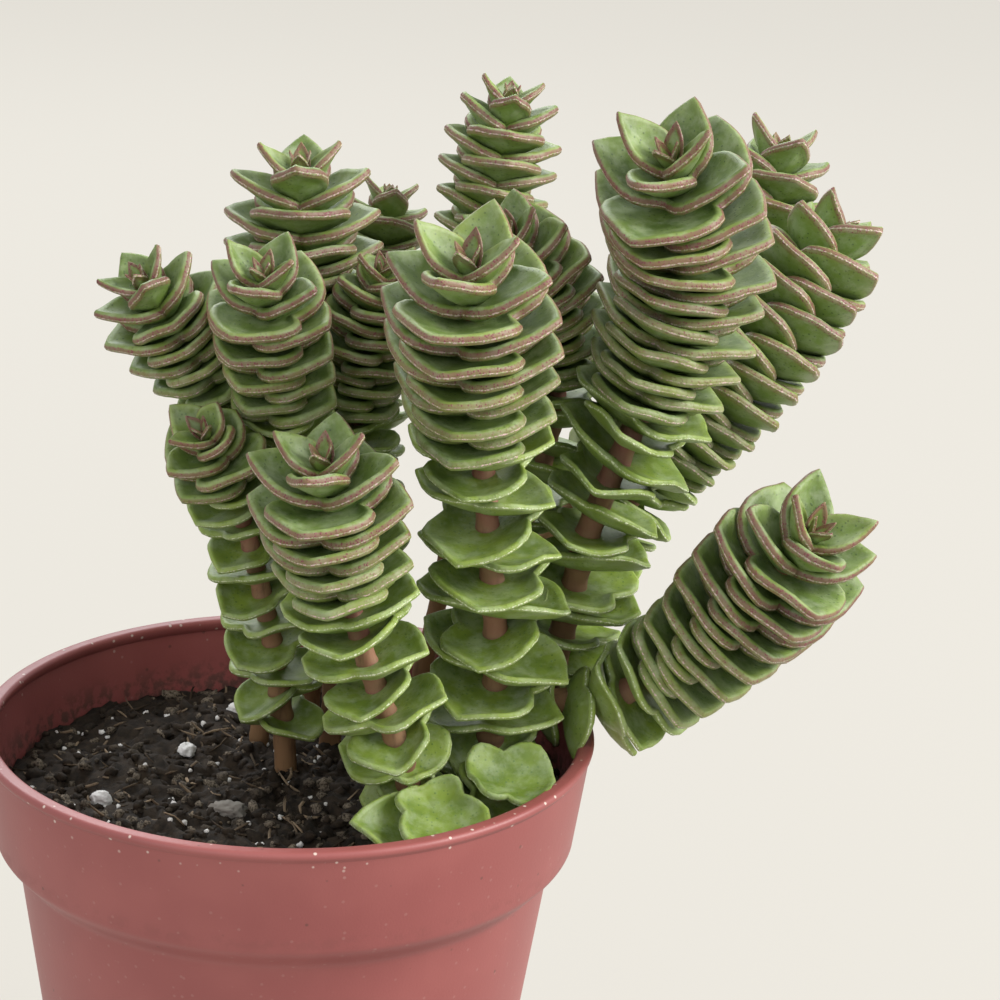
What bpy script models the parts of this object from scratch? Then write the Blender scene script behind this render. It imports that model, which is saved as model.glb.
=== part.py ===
"""Potted string of buttons: a round nursery pot, its soil, and fourteen leafy shoots.

Every shoot is three pieces: a stem rooted in the soil, a stack of spaced-out lower leaf pairs
threaded on it, and a crowded crown that sits on its upper end. The leaves of a pair are fused
round the stem and each pair is turned a quarter turn from the one below it.

The frame is metres, +Z up, with the origin at the middle of the pot's underside.
"""
import math
from dataclasses import dataclass

import bmesh
import bpy
from mathutils import Matrix, Vector, geometry, noise

MM = 0.001
FIT_GAP = 0.3 * MM          # gap that touching pieces keep

# ---- Pot
POT_HEIGHT = 95 * MM
RIM_RADIUS = 52.5 * MM
RIM_WIDTH = 2.8 * MM        # flat lip, outside to inside
RIM_DEPTH = 1.6 * MM
BAND_HEIGHT = 18 * MM       # upper band, from the lip to the step
BAND_TAPER = 2.7 * MM
STEP_HEIGHT = 5.7 * MM      # the soft step under the band
STEP_INSET = 4.0 * MM
WALL_TAPER = 0.138          # lower wall, mm in per mm down
WALL = 1.4 * MM
FLOOR = 2.0 * MM
POT_STEPS = 40
DRAIN_COUNT = 8
DRAIN_RADIUS = 3.5 * MM
DRAIN_INSET = 11 * MM       # hole centres, in from the base's edge

# ---- Soil
HEAD_SPACE = 13 * MM        # rim down to the soil
SOIL_BUMP = 1.0 * MM
SOIL_BUMP_SIZE = 9 * MM
SOIL_RINGS = 5
SOIL_STEPS = 28
ROOT_DEPTH = 15 * MM        # how far a stem goes into the soil
LUMP_RISE = 0.35            # middle of a lump above the soil, of its half height
LUMP_UNEVENNESS = 0.25      # of the lump's size
LUMP_ROUGHNESS = 1.7
LAYOUT_RIM = 52.5 * MM      # rim radius that the shoots and lumps are laid out for

# ---- Stems and leaves
STEM_TOP_SHARE = 0.62       # girth at the stem's upper end, of the girth at the soil
STEM_PITCH = 7 * MM         # distance between the stem's cross-sections
SLEEVE_SIDES = 6
SLEEVE_WALL = 0.7 * MM      # tissue of a leaf pair round the stem
SOCKET_DEPTH = 9 * MM       # how far the stem goes into the crown
BUD_HEIGHT = 2.2 * MM
TIP_STEP = 1.3 * MM         # distance between pairs, at the tip
CROWN_STEP = 2.5 * MM       # in the crown
OPEN_STEP = 4.6 * MM        # on the open stretch
STEP_CHANGE = 7 * MM        # stretch over which one spacing turns into the other
GROWTH = 13 * MM            # distance below the tip at which a leaf is full size
YOUNG_SHARE = 0.24          # length of the topmost leaves, of a full leaf
OLD_SHARE = 0.90            # length of the lowest leaves, of a full leaf
YOUNG_SLOPE = 1.8           # rise of the topmost leaves over their length
CROWN_SLOPE = 0.40
OLD_SLOPE = 0.18
PLATE_SHARE = 0.55          # thickness of a pair at the stem, of the spacing
PLATE_MOST = 1.8 * MM
SHOULDER_ANGLE = 47         # bearing of a leaf's widest point from its midline, degrees
SHOULDER_SHARE = 0.84       # distance of that point from the stem, of the leaf's length
PAIR_TURN = 90 + 2          # turn from one pair to the next, degrees
CROWDING_GAP = 0.6 * MM     # least room between the leaves of neighbouring shoots
SHORTEN = 0.94              # factor by which a crowded leaf is shortened at a time
LINE_CHECKS = 9             # places along a leaf at which it is tested


@dataclass(frozen=True)
class Shoot:
    """One shoot, rooted in the soil of a pot whose rim radius is LAYOUT_RIM."""
    name: str
    route: tuple    # from the soil to the tip, millimetres, heights above the soil
    leaf: float     # length of a full leaf, from the stem's axis
    crown: float    # length of the crowded stretch
    open: float     # length of the open stretch under it
    girth: float    # stem radius at the soil
    turn: float     # bearing of the top pair, degrees


SHOOTS = (
    Shoot("front_tall", ((34, -4, 0), (35, -7, 28), (33, -10, 50), (31, -14, 69), (28, -25, 100)),
          15.0 * MM, 36 * MM, 62 * MM, 2.3 * MM, 0),
    Shoot("front_left", ((23, -14, 0), (20, -21, 17), (14, -24, 35), (10, -27, 51), (7, -33, 70)),
          12.8 * MM, 32 * MM, 38 * MM, 2.1 * MM, 20),
    Shoot("middle_left", ((6, 20, 0), (6, 18, 21), (2, 12, 42), (-2, 3, 67), (-5, -8, 93)),
          11.2 * MM, 28 * MM, 38 * MM, 2.0 * MM, 15),
    Shoot("far_left", ((-7, 22, 0), (-5, 22, 22), (-6, 19, 48), (-14, 12, 68), (-26, 4, 88)),
          10.5 * MM, 24 * MM, 32 * MM, 1.8 * MM, 30),
    Shoot("low_left", ((-1, 9, 0), (-3, 7, 21), (-7, 2, 43), (-10, -3, 56), (-14, -10, 67)),
          10.4 * MM, 14 * MM, 48 * MM, 2.0 * MM, 40),
    Shoot("back_left", ((1, 32, 0), (2, 33, 26), (0, 30, 66), (-2, 26, 103)),
          13.0 * MM, 33 * MM, 32 * MM, 2.1 * MM, 45),
    Shoot("back_slim", ((10, 37, 0), (11, 43, 30), (10, 47, 70), (12, 51, 94)),
          8.4 * MM, 24 * MM, 26 * MM, 1.7 * MM, 30),
    Shoot("middle_slim", ((16, 22, 0), (14, 24, 26), (9, 22, 60), (13, 15, 89)),
          9.6 * MM, 28 * MM, 28 * MM, 1.8 * MM, 10),
    Shoot("back_tall", ((20, 33, 0), (25, 37, 30), (28, 38, 76), (33, 38, 115)),
          9.8 * MM, 34 * MM, 32 * MM, 1.8 * MM, 35),
    Shoot("back_middle", ((27, 20, 0), (33, 18, 24), (43, 23, 61), (41, 20, 81), (34, 12, 97)),
          11.4 * MM, 32 * MM, 34 * MM, 2.0 * MM, 25),
    Shoot("right_big", ((38, 12, 0), (45, 12, 21), (50, 10, 47), (59, 8, 74), (63, 4, 95), (59, -5, 114)),
          15.0 * MM, 50 * MM, 56 * MM, 2.5 * MM, 10),
    Shoot("right_far", ((34, 22, 0), (41, 26, 20), (59, 31, 48), (77, 33, 71), (91, 41, 93)),
          13.0 * MM, 54 * MM, 34 * MM, 2.3 * MM, 50),
    Shoot("right_back", ((28, 29, 0), (34, 36, 22), (58, 54, 50), (77, 67, 80), (83, 72, 101)),
          12.0 * MM, 40 * MM, 36 * MM, 2.1 * MM, 20),
    Shoot("right_low", ((23, 10, 0), (29, 5, 13), (41, 4, 17), (55, 3, 19), (70, -3, 32), (85, -15, 56)),
          14.0 * MM, 42 * MM, 22 * MM, 2.6 * MM, 15),
)


@dataclass(frozen=True)
class Lump:
    """A loose lump half sunk in the soil: its place in a pot of LAYOUT_RIM and its half sizes."""
    name: str
    x: float
    y: float
    half: tuple
    seed: float


LUMPS = (
    Lump("perlite_1", -12 * MM, 32 * MM, (2.6 * MM, 2.1 * MM, 1.7 * MM), 1.0),
    Lump("perlite_2", -19 * MM, 14 * MM, (1.9 * MM, 2.3 * MM, 1.5 * MM), 2.0),
    Lump("perlite_3", -31 * MM, -8 * MM, (2.4 * MM, 1.8 * MM, 1.6 * MM), 3.0),
    Lump("perlite_4", 37 * MM, -21 * MM, (1.8 * MM, 2.2 * MM, 1.5 * MM), 4.0),
    Lump("perlite_5", 2 * MM, -34 * MM, (2.2 * MM, 1.9 * MM, 1.4 * MM), 5.0),
    Lump("bark_chip", -9 * MM, -10 * MM, (4.2 * MM, 2.6 * MM, 1.6 * MM), 6.0),
)

# ---- Values worked out from the sizes above
SOIL_LEVEL = POT_HEIGHT - HEAD_SPACE
BAND_FOOT_RADIUS = RIM_RADIUS - BAND_TAPER
STEP_FOOT_RADIUS = BAND_FOOT_RADIUS - STEP_INSET
STEP_FOOT_HEIGHT = POT_HEIGHT - BAND_HEIGHT - STEP_HEIGHT
BASE_RADIUS = STEP_FOOT_RADIUS - WALL_TAPER * STEP_FOOT_HEIGHT
LAYOUT_SPREAD = RIM_RADIUS / LAYOUT_RIM
SLEEVE_SCALE = 1 / math.cos(math.pi / SLEEVE_SIDES)


# ---- Scene helpers
def clear_scene():
    for item in list(bpy.data.objects):
        bpy.data.objects.remove(item)


def new_collection(name):
    collection = bpy.data.collections.new(name)
    bpy.context.scene.collection.children.link(collection)
    return collection


def finish(name, colour, roughness):
    material = bpy.data.materials.new(name)
    material.use_nodes = True
    shader = material.node_tree.nodes["Principled BSDF"]
    shader.inputs["Base Color"].default_value = (*colour, 1)
    shader.inputs["Roughness"].default_value = roughness
    shader.inputs["Metallic"].default_value = 0
    return material


def add_object(name, data, collection, material=None):
    item = bpy.data.objects.new(name, data)
    collection.objects.link(item)
    if material:
        item.data.materials.append(material)
    return item


def mesh_from(item):
    """The evaluated mesh of an object, its doubles welded; the object itself is removed."""
    graph = bpy.context.evaluated_depsgraph_get()
    mesh = bpy.data.meshes.new_from_object(item.evaluated_get(graph))
    mesh.transform(item.matrix_world)
    work = bmesh.new()
    work.from_mesh(mesh)
    bmesh.ops.remove_doubles(work, verts=work.verts, dist=0.01 * MM)
    bmesh.ops.recalc_face_normals(work, faces=work.faces)
    work.to_mesh(mesh)
    work.free()
    bpy.data.objects.remove(item)
    return mesh


def cut(item, cutter):
    cutter.hide_render = True
    cutter.display_type = "WIRE"
    boolean = item.modifiers.new("cut", "BOOLEAN")
    boolean.operation = "DIFFERENCE"
    boolean.solver = "EXACT"
    boolean.object = cutter


def turned(name, profile, steps, collection, material=None):
    """A profile in the XZ plane turned round Z; it runs down its outer side."""
    mesh = bpy.data.meshes.new(name)
    edges = [(index, index + 1) for index in range(len(profile) - 1)]
    mesh.from_pydata([(x, 0, z) for x, z in profile], edges, [])
    item = add_object(name, mesh, collection, material)
    screw = item.modifiers.new("turn", "SCREW")
    screw.axis = "Z"
    screw.steps = steps
    screw.render_steps = steps
    screw.use_merge_vertices = True
    screw.merge_threshold = 0.02 * MM
    return item


# ---- Pot
def arc(centre, radius, start, end, count):
    """Points on an arc in the XZ plane, angles in degrees from +X towards +Z."""
    points = []
    for index in range(count + 1):
        angle = math.radians(start + (end - start) * index / count)
        points.append((centre[0] + radius * math.cos(angle), centre[1] + radius * math.sin(angle)))
    return points


def soft_step(top, foot, count):
    """Points of an S-shaped step between two points of the wall."""
    points = []
    for index in range(count + 1):
        share = index / count
        ease = share * share * (3 - 2 * share)
        points.append((top[0] + (foot[0] - top[0]) * ease, top[1] + (foot[1] - top[1]) * share))
    return points


def pot_profile():
    edge = RIM_DEPTH / 2
    band_top = POT_HEIGHT - RIM_DEPTH
    band_foot = POT_HEIGHT - BAND_HEIGHT
    lip_inside = RIM_RADIUS - RIM_WIDTH
    wall_inside = RIM_RADIUS - 2 * FIT_GAP - WALL
    foot = 1.2 * MM
    outside = arc((RIM_RADIUS - edge, POT_HEIGHT - edge), edge, 90, -30, 4)
    outside.append((RIM_RADIUS - 2 * FIT_GAP, band_top - edge))
    outside += soft_step((BAND_FOOT_RADIUS, band_foot), (STEP_FOOT_RADIUS, STEP_FOOT_HEIGHT), 4)
    outside += arc((BASE_RADIUS - foot, foot), foot, 0, -90, 3)
    inside = [(BASE_RADIUS - WALL, FLOOR)]
    inside += soft_step((STEP_FOOT_RADIUS - WALL, STEP_FOOT_HEIGHT), (BAND_FOOT_RADIUS - WALL, band_foot), 3)
    inside += [(wall_inside, band_top - edge), (lip_inside, band_top), (lip_inside, POT_HEIGHT)]
    return outside + [(0, 0), (0, FLOOR)] + inside + [outside[0]]


def inner_radius(height):
    """Radius of the pot's inner wall at a height above the step."""
    band_foot = POT_HEIGHT - BAND_HEIGHT
    share = (height - band_foot) / (POT_HEIGHT - 1.5 * RIM_DEPTH - band_foot)
    top = RIM_RADIUS - 2 * FIT_GAP - WALL
    return BAND_FOOT_RADIUS - WALL + (top - BAND_FOOT_RADIUS + WALL) * min(max(share, 0), 1)


def build_pot(collection, cutters):
    pot = turned("pot", pot_profile(), POT_STEPS, collection, finish("pot_plastic", (0.36, 0.10, 0.09), 0.45))
    holes = bmesh.new()
    for index in range(DRAIN_COUNT):
        angle = 2 * math.pi * (index + 0.5) / DRAIN_COUNT
        reach = BASE_RADIUS - DRAIN_INSET
        place = Matrix.Translation((reach * math.cos(angle), reach * math.sin(angle), FLOOR / 2))
        bmesh.ops.create_cone(holes, cap_ends=True, segments=10, radius1=DRAIN_RADIUS,
                              radius2=DRAIN_RADIUS, depth=3 * FLOOR, matrix=place)
    mesh = bpy.data.meshes.new("drain_cutter")
    holes.to_mesh(mesh)
    holes.free()
    cut(pot, add_object("drain_cutter", mesh, cutters))
    return pot


# ---- Soil and what lies in it
def soil_profile():
    band_foot = POT_HEIGHT - BAND_HEIGHT
    edge = inner_radius(SOIL_LEVEL) - FIT_GAP
    inset = WALL + FIT_GAP
    top = [(edge * index / SOIL_RINGS, SOIL_LEVEL) for index in range(1, SOIL_RINGS + 1)]
    side = [(BAND_FOOT_RADIUS - inset, band_foot)]
    side += soft_step((BAND_FOOT_RADIUS - inset, band_foot), (STEP_FOOT_RADIUS - inset, STEP_FOOT_HEIGHT), 3)[1:]
    side.append((BASE_RADIUS - inset, FLOOR + FIT_GAP))
    return [(0, SOIL_LEVEL)] + top + side + [(0, FLOOR + FIT_GAP)]


def soil_height(x, y):
    """Height of the soil's uneven top."""
    return SOIL_LEVEL + SOIL_BUMP * noise.noise(Vector((x, y, 0)) / SOIL_BUMP_SIZE)


def shape_lump(lump, spread):
    """A rough rounded lump as a mesh, grown outwards by spread."""
    work = bmesh.new()
    bmesh.ops.create_icosphere(work, subdivisions=1, radius=1)
    x, y = lump.x * LAYOUT_SPREAD, lump.y * LAYOUT_SPREAD
    middle = Vector((x, y, soil_height(x, y) + LUMP_RISE * lump.half[2]))
    for vertex in work.verts:
        way = vertex.co.normalized()
        uneven = 1 + LUMP_UNEVENNESS * noise.noise(way * LUMP_ROUGHNESS + Vector((lump.seed, 0, 0)))
        sides = Vector((way.x * lump.half[0], way.y * lump.half[1], way.z * lump.half[2]))
        vertex.co = middle + sides * uneven + way * spread
    mesh = bpy.data.meshes.new(lump.name)
    work.to_mesh(mesh)
    work.free()
    return mesh


def build_soil(collection, cutters, stem_cutters):
    blank = turned("soil_blank", soil_profile(), SOIL_STEPS, collection)
    mesh = mesh_from(blank)
    mesh.name = "soil"
    for vertex in mesh.vertices:
        if vertex.co.z > SOIL_LEVEL - FIT_GAP:
            vertex.co.z = soil_height(vertex.co.x, vertex.co.y)
    soil = add_object("soil", mesh, collection, finish("potting_soil", (0.035, 0.024, 0.018), 0.95))
    for cutter in stem_cutters:
        cut(soil, cutter)
    white = finish("perlite", (0.75, 0.74, 0.70), 0.85)
    bark = finish("bark", (0.20, 0.17, 0.14), 0.9)
    for lump in LUMPS:
        cut(soil, add_object(lump.name + "_cutter", shape_lump(lump, 1.5 * FIT_GAP), cutters))
        add_object(lump.name, shape_lump(lump, 0), collection, bark if "bark" in lump.name else white)
    return soil


# ---- A shoot's route and its leaf pairs
class Route:
    """A smooth line through a shoot's points, measured from its tip downwards."""

    def __init__(self, shoot):
        marks = [Vector((x * MM * LAYOUT_SPREAD, y * MM * LAYOUT_SPREAD, SOIL_LEVEL + z * MM))
                 for x, y, z in shoot.route]
        marks.insert(0, marks[0] - Vector((0, 0, ROOT_DEPTH)))
        line = []
        for index in range(len(marks) - 1):
            before = marks[max(index - 1, 0)]
            here, there = marks[index], marks[index + 1]
            after = marks[min(index + 2, len(marks) - 1)]
            line += geometry.interpolate_bezier(
                here, here + (there - before) / 6, there - (after - here) / 6, there, 13)[:-1]
        line.append(marks[-1])
        self.points = line[::-1]
        self.measure = [0.0]
        for first, second in zip(self.points, self.points[1:]):
            self.measure.append(self.measure[-1] + (second - first).length)
        self.length = self.measure[-1]
        self.girth = shoot.girth
        self.sides = self.carry_side()

    def direction(self, index):
        """Unit direction towards the tip at one point of the line."""
        upper = self.points[max(index - 1, 0)]
        lower = self.points[min(index + 1, len(self.points) - 1)]
        return (upper - lower).normalized()

    def carry_side(self):
        """A side direction at every point, carried along without twist; +X at the root."""
        sides = [None] * len(self.points)
        side = Vector((1, 0, 0))
        for index in range(len(self.points) - 1, -1, -1):
            axis = self.direction(index)
            side = (side - axis * side.dot(axis)).normalized()
            sides[index] = side
        return sides

    def at(self, depth):
        """Place, axis and side direction at a distance below the tip."""
        index = 0
        while index < len(self.measure) - 2 and self.measure[index + 1] < depth:
            index += 1
        share = (depth - self.measure[index]) / (self.measure[index + 1] - self.measure[index])
        place = self.points[index].lerp(self.points[index + 1], share)
        axis = self.direction(index).lerp(self.direction(index + 1), share).normalized()
        side = self.sides[index].lerp(self.sides[index + 1], share)
        return place, axis, (side - axis * side.dot(axis)).normalized()

    def stem_radius(self, depth):
        share = min(max(depth / (self.length - ROOT_DEPTH), 0), 1)
        return self.girth * (STEM_TOP_SHARE + (1 - STEM_TOP_SHARE) * share)


def ease(low, high, value):
    share = min(max((value - low) / (high - low), 0), 1)
    return share * share * (3 - 2 * share)


def spacing(shoot, depth):
    """Distance from a pair to the next one down."""
    grown = TIP_STEP + (CROWN_STEP - TIP_STEP) * ease(0, GROWTH, depth)
    opened = ease(shoot.crown - STEP_CHANGE, shoot.crown, depth)
    return grown + (OPEN_STEP - CROWN_STEP) * opened


def leaf_length(shoot, depth):
    young = YOUNG_SHARE + (1 - YOUNG_SHARE) * math.sin(0.5 * math.pi * min(depth / GROWTH, 1))
    old = 1 - (1 - OLD_SHARE) * ease(shoot.crown - STEP_CHANGE, shoot.crown + STEP_CHANGE, depth)
    return shoot.leaf * young * old


def leaf_slope(shoot, depth):
    young = CROWN_SLOPE + (YOUNG_SLOPE - CROWN_SLOPE) * (1 - min(depth / GROWTH, 1)) ** 2
    return young + (OLD_SLOPE - CROWN_SLOPE) * ease(shoot.crown, shoot.crown + shoot.open, depth)


def pair_depths(shoot, route):
    """Distances below the tip of the shoot's leaf pairs, topmost first."""
    lowest = min(shoot.crown + shoot.open, route.length - ROOT_DEPTH - OPEN_STEP)
    depths = [BUD_HEIGHT]
    while depths[-1] + spacing(shoot, depths[-1]) < lowest:
        depths.append(depths[-1] + spacing(shoot, depths[-1]))
    return depths


class Surroundings:
    """What a leaf has to stay clear of: the pot, the soil and the other shoots."""

    def __init__(self, shoots, routes):
        self.envelopes = {}
        for shoot, route in zip(shoots, routes):
            samples = []
            depth = 0.0
            while depth < route.length - ROOT_DEPTH:
                leafy = depth < shoot.crown + shoot.open
                bare = route.stem_radius(depth) + 2 * CROWDING_GAP
                room = max(leaf_length(shoot, depth), bare) if leafy else bare
                samples.append((route.at(depth)[0], room, bare))
                depth += CROWN_STEP
            self.envelopes[shoot.name] = samples

    def share(self, name, point):
        """Distance from a shoot's axis to a point, in that shoot's own leaf lengths."""
        return min((point - place).length / room for place, room, _ in self.envelopes[name])

    def free(self, shoot, point):
        reach = math.hypot(point.x, point.y)
        if reach < RIM_RADIUS + CROWDING_GAP and point.z < POT_HEIGHT + CROWDING_GAP:
            if reach > RIM_RADIUS - RIM_WIDTH - CROWDING_GAP:
                return False
            if point.z < SOIL_LEVEL + SOIL_BUMP + CROWDING_GAP:
                return False
        own = self.share(shoot.name, point)
        margin = CROWDING_GAP / shoot.leaf
        for name, samples in self.envelopes.items():
            if name == shoot.name:
                continue
            for place, room, bare in samples:
                distance = (point - place).length
                if distance < bare or distance / room < own + margin:
                    return False
        return True

    def clear_line(self, shoot, start, end):
        return all(self.free(shoot, start.lerp(end, count / LINE_CHECKS)) for count in range(3, LINE_CHECKS + 1))


class LeafPair:
    """One fused pair: its rings round the stem and its outline, all in world space."""

    def __init__(self, shoot, route, depth, bearing, around):
        self.place, self.axis, self.side = route.at(depth)
        self.other = self.axis.cross(self.side)
        self.bearing = bearing
        self.half = 0.5 * min(PLATE_SHARE * spacing(shoot, depth), PLATE_MOST)
        self.bore = (route.stem_radius(depth) + FIT_GAP) * SLEEVE_SCALE
        self.slope = leaf_slope(shoot, depth)
        length = leaf_length(shoot, depth)
        shares = (1, SHOULDER_SHARE, SHOULDER_SHARE) * 2
        self.angles = [bearing + turn for turn in (
            0, SHOULDER_ANGLE, 180 - SHOULDER_ANGLE, 180, 180 + SHOULDER_ANGLE, 360 - SHOULDER_ANGLE)]
        self.reaches = [length * share for share in shares]
        self.shorten(shoot, around)

    def point(self, angle, reach, rise):
        turn = math.radians(angle)
        return self.place + reach * (math.cos(turn) * self.side + math.sin(turn) * self.other) + rise * self.axis

    def outline_point(self, index):
        reach = self.reaches[index]
        return self.point(self.angles[index], reach, self.slope * reach)

    def shorten(self, shoot, around):
        """Shorten the outline's crowded points until the pair is clear of everything."""
        least = self.bore + 2 * SLEEVE_WALL
        count = len(self.reaches)
        changed = True
        while changed:
            changed = False
            for index in range(count):
                tip, beside = self.outline_point(index), self.outline_point((index + 1) % count)
                if self.reaches[index] > least and not around.clear_line(shoot, self.place, tip):
                    self.reaches[index] *= SHORTEN
                    changed = True
                elif not around.free(shoot, (tip + beside) / 2):
                    for corner in (index, (index + 1) % count):
                        if self.reaches[corner] > least:
                            self.reaches[corner] *= SHORTEN
                            changed = True

    def ring(self, radius, rise, start=0):
        """Corners round the stem, the first of them at the bearing start."""
        return [self.point(start + 360 * index / SLEEVE_SIDES, radius, rise) for index in range(SLEEVE_SIDES)]

    def collar(self, rise):
        return self.ring(self.bore + SLEEVE_WALL, rise, self.bearing)


class Stack:
    """The mesh of a stack of pairs, built from the lowest pair up."""

    def __init__(self, name, pairs):
        self.name = name
        self.pairs = pairs
        self.work = bmesh.new()

    def add_ring(self, points):
        return [self.work.verts.new(point) for point in points]

    def bridge(self, lower, upper, turn=0):
        """Triangles between two rings; turn is the bearing of upper's first corner from lower's."""
        count = len(lower)
        shift = -round(turn * count / 360)
        onward = turn + shift * 360 / count > 0
        for index in range(count):
            ahead = (index + 1) % count
            here, there = upper[(index + shift) % count], upper[(ahead + shift) % count]
            self.work.faces.new((lower[index], lower[ahead], here if onward else there))
            self.work.faces.new((lower[ahead] if onward else lower[index], there, here))

    def build(self, socket=None):
        """The mesh; with a socket depth the top is closed and the bore is blind."""
        below = None
        for pair in self.pairs:
            under = self.add_ring(pair.collar(-pair.half))
            outline = self.add_ring([pair.outline_point(index) for index in range(len(pair.reaches))])
            over = self.add_ring(pair.collar(pair.half))
            if below:
                self.bridge(below, under, pair.bearing - bearing)
            else:
                lowest = under
            self.bridge(under, outline)
            self.bridge(over, outline)
            below, bearing = over, pair.bearing
        self.close(lowest, below, socket)
        bmesh.ops.recalc_face_normals(self.work, faces=self.work.faces)
        if self.work.calc_volume(signed=True) < 0:
            bmesh.ops.reverse_faces(self.work, faces=self.work.faces)
        mesh = bpy.data.meshes.new(self.name)
        self.work.to_mesh(mesh)
        self.work.free()
        return mesh

    def close(self, lowest, highest, socket):
        """Add the bore's wall and close both ends of the stack."""
        first, last = self.pairs[0], self.pairs[-1]
        inner = self.add_ring(first.ring(first.bore, -first.half))
        self.bridge(inner, lowest, first.bearing)
        for pair in self.pairs[1:]:
            if socket is not None and (pair.place - first.place).length > socket:
                break
            level = self.add_ring(pair.ring(pair.bore, -pair.half))
            self.bridge(level, inner)
            inner = level
        if socket is None:
            level = self.add_ring(last.ring(last.bore, last.half))
            self.bridge(level, inner)
            self.bridge(highest, level, -last.bearing)
        else:
            self.work.faces.new(inner)
            tip = self.work.verts.new(last.place + last.axis * BUD_HEIGHT)
            for index in range(SLEEVE_SIDES):
                self.work.faces.new((highest[index], highest[(index + 1) % SLEEVE_SIDES], tip))


# ---- Stems
def tube(name, route, upper, lower, spread, collection):
    """A tube along the route between two depths, its radius grown by spread."""
    count = max(2, round((lower - upper) / STEM_PITCH))
    curve = bpy.data.curves.new(name, "CURVE")
    curve.dimensions = "3D"
    curve.bevel_depth = 1
    curve.bevel_resolution = 1
    curve.use_fill_caps = True
    spline = curve.splines.new("POLY")
    spline.points.add(count)
    for index, point in enumerate(spline.points):
        depth = lower + (upper - lower) * index / count
        point.co = (*route.at(depth)[0], 1)
        point.radius = route.stem_radius(depth) + spread
    return add_object(name, curve, collection)


def build_shoot(shoot, route, around, collection, cutters, finishes):
    """The shoot's stem, lower leaves and crown; the cutter of its hole in the soil is returned."""
    depths = pair_depths(shoot, route)
    pairs = [LeafPair(shoot, route, depth, shoot.turn + PAIR_TURN * index, around)
             for index, depth in enumerate(depths)]
    lower_count = sum(depth > shoot.crown for depth in depths)
    crown = pairs[:len(pairs) - lower_count][::-1]
    lower = pairs[len(pairs) - lower_count:][::-1]
    green, pale, bark = finishes
    add_object(shoot.name + "_crown", Stack(shoot.name, crown).build(SOCKET_DEPTH), collection, green)
    add_object(shoot.name + "_lower_leaves", Stack(shoot.name, lower).build(), collection, pale)
    reached = [pair for pair in crown if (pair.place - crown[0].place).length <= SOCKET_DEPTH]
    top = depths[crown[::-1].index(reached[-1])] + reached[-1].half + FIT_GAP
    stem = tube(shoot.name + "_stem", route, top, route.length, 0, collection)
    stem.data.materials.append(bark)
    wide = tube("wide", route, route.length - ROOT_DEPTH - 4 * SOIL_BUMP, route.length, FIT_GAP, cutters)
    mesh = mesh_from(wide)
    for vertex in mesh.vertices:
        if vertex.co.z < SOIL_LEVEL - ROOT_DEPTH + FIT_GAP:
            vertex.co.z -= FIT_GAP
    return add_object(shoot.name + "_cutter", mesh, cutters)


def main():
    clear_scene()
    collection = new_collection("potted_string_of_buttons")
    cutters = new_collection("cutters")
    build_pot(collection, cutters)
    routes = [Route(shoot) for shoot in SHOOTS]
    around = Surroundings(SHOOTS, routes)
    finishes = (
        finish("crown_leaf", (0.16, 0.27, 0.12), 0.5),
        finish("lower_leaf", (0.20, 0.33, 0.09), 0.5),
        finish("stem_bark", (0.28, 0.13, 0.08), 0.7),
    )
    stem_cutters = [build_shoot(shoot, route, around, collection, cutters, finishes)
                    for shoot, route in zip(SHOOTS, routes)]
    build_soil(collection, cutters, stem_cutters)


main()
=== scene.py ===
"""Looks of a potted string of buttons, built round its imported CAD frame.

The pot, its peat and the fourteen shoots each have a class that builds its meshes and dresses
them. Two shoots at the front rim carry a short offset as well. Leaf pairs, stems and soil crumbs
are laid out by Geometry Nodes and turned into plain meshes. Lengths are metres in the frame's own
axes, +Z up, unless a name says otherwise.
"""
from __future__ import annotations

import logging
import math
import random
from dataclasses import dataclass, field, fields
from enum import Enum

import bmesh
import bpy
from mathutils import Matrix, Vector, geometry, noise


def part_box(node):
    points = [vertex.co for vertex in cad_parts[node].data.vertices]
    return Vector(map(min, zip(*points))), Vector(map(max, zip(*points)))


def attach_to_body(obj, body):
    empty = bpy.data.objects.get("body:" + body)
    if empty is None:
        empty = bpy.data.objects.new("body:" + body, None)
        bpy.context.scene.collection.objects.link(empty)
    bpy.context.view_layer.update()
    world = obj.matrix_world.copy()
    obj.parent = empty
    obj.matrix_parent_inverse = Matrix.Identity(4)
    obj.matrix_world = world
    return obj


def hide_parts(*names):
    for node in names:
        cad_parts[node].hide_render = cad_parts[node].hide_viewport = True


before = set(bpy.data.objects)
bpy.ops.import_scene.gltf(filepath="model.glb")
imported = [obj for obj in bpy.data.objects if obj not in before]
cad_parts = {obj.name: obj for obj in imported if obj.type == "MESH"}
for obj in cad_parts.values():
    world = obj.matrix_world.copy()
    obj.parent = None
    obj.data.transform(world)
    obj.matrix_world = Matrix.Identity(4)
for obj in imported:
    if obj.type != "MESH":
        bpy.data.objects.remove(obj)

LOG = logging.getLogger("string_of_buttons")
MM = 0.001
MERGE_DISTANCE = 0.001 * MM
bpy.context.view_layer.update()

Colour = tuple[float, float, float]
Pair = tuple[float, float]
Triple = tuple[float, float, float]


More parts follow.
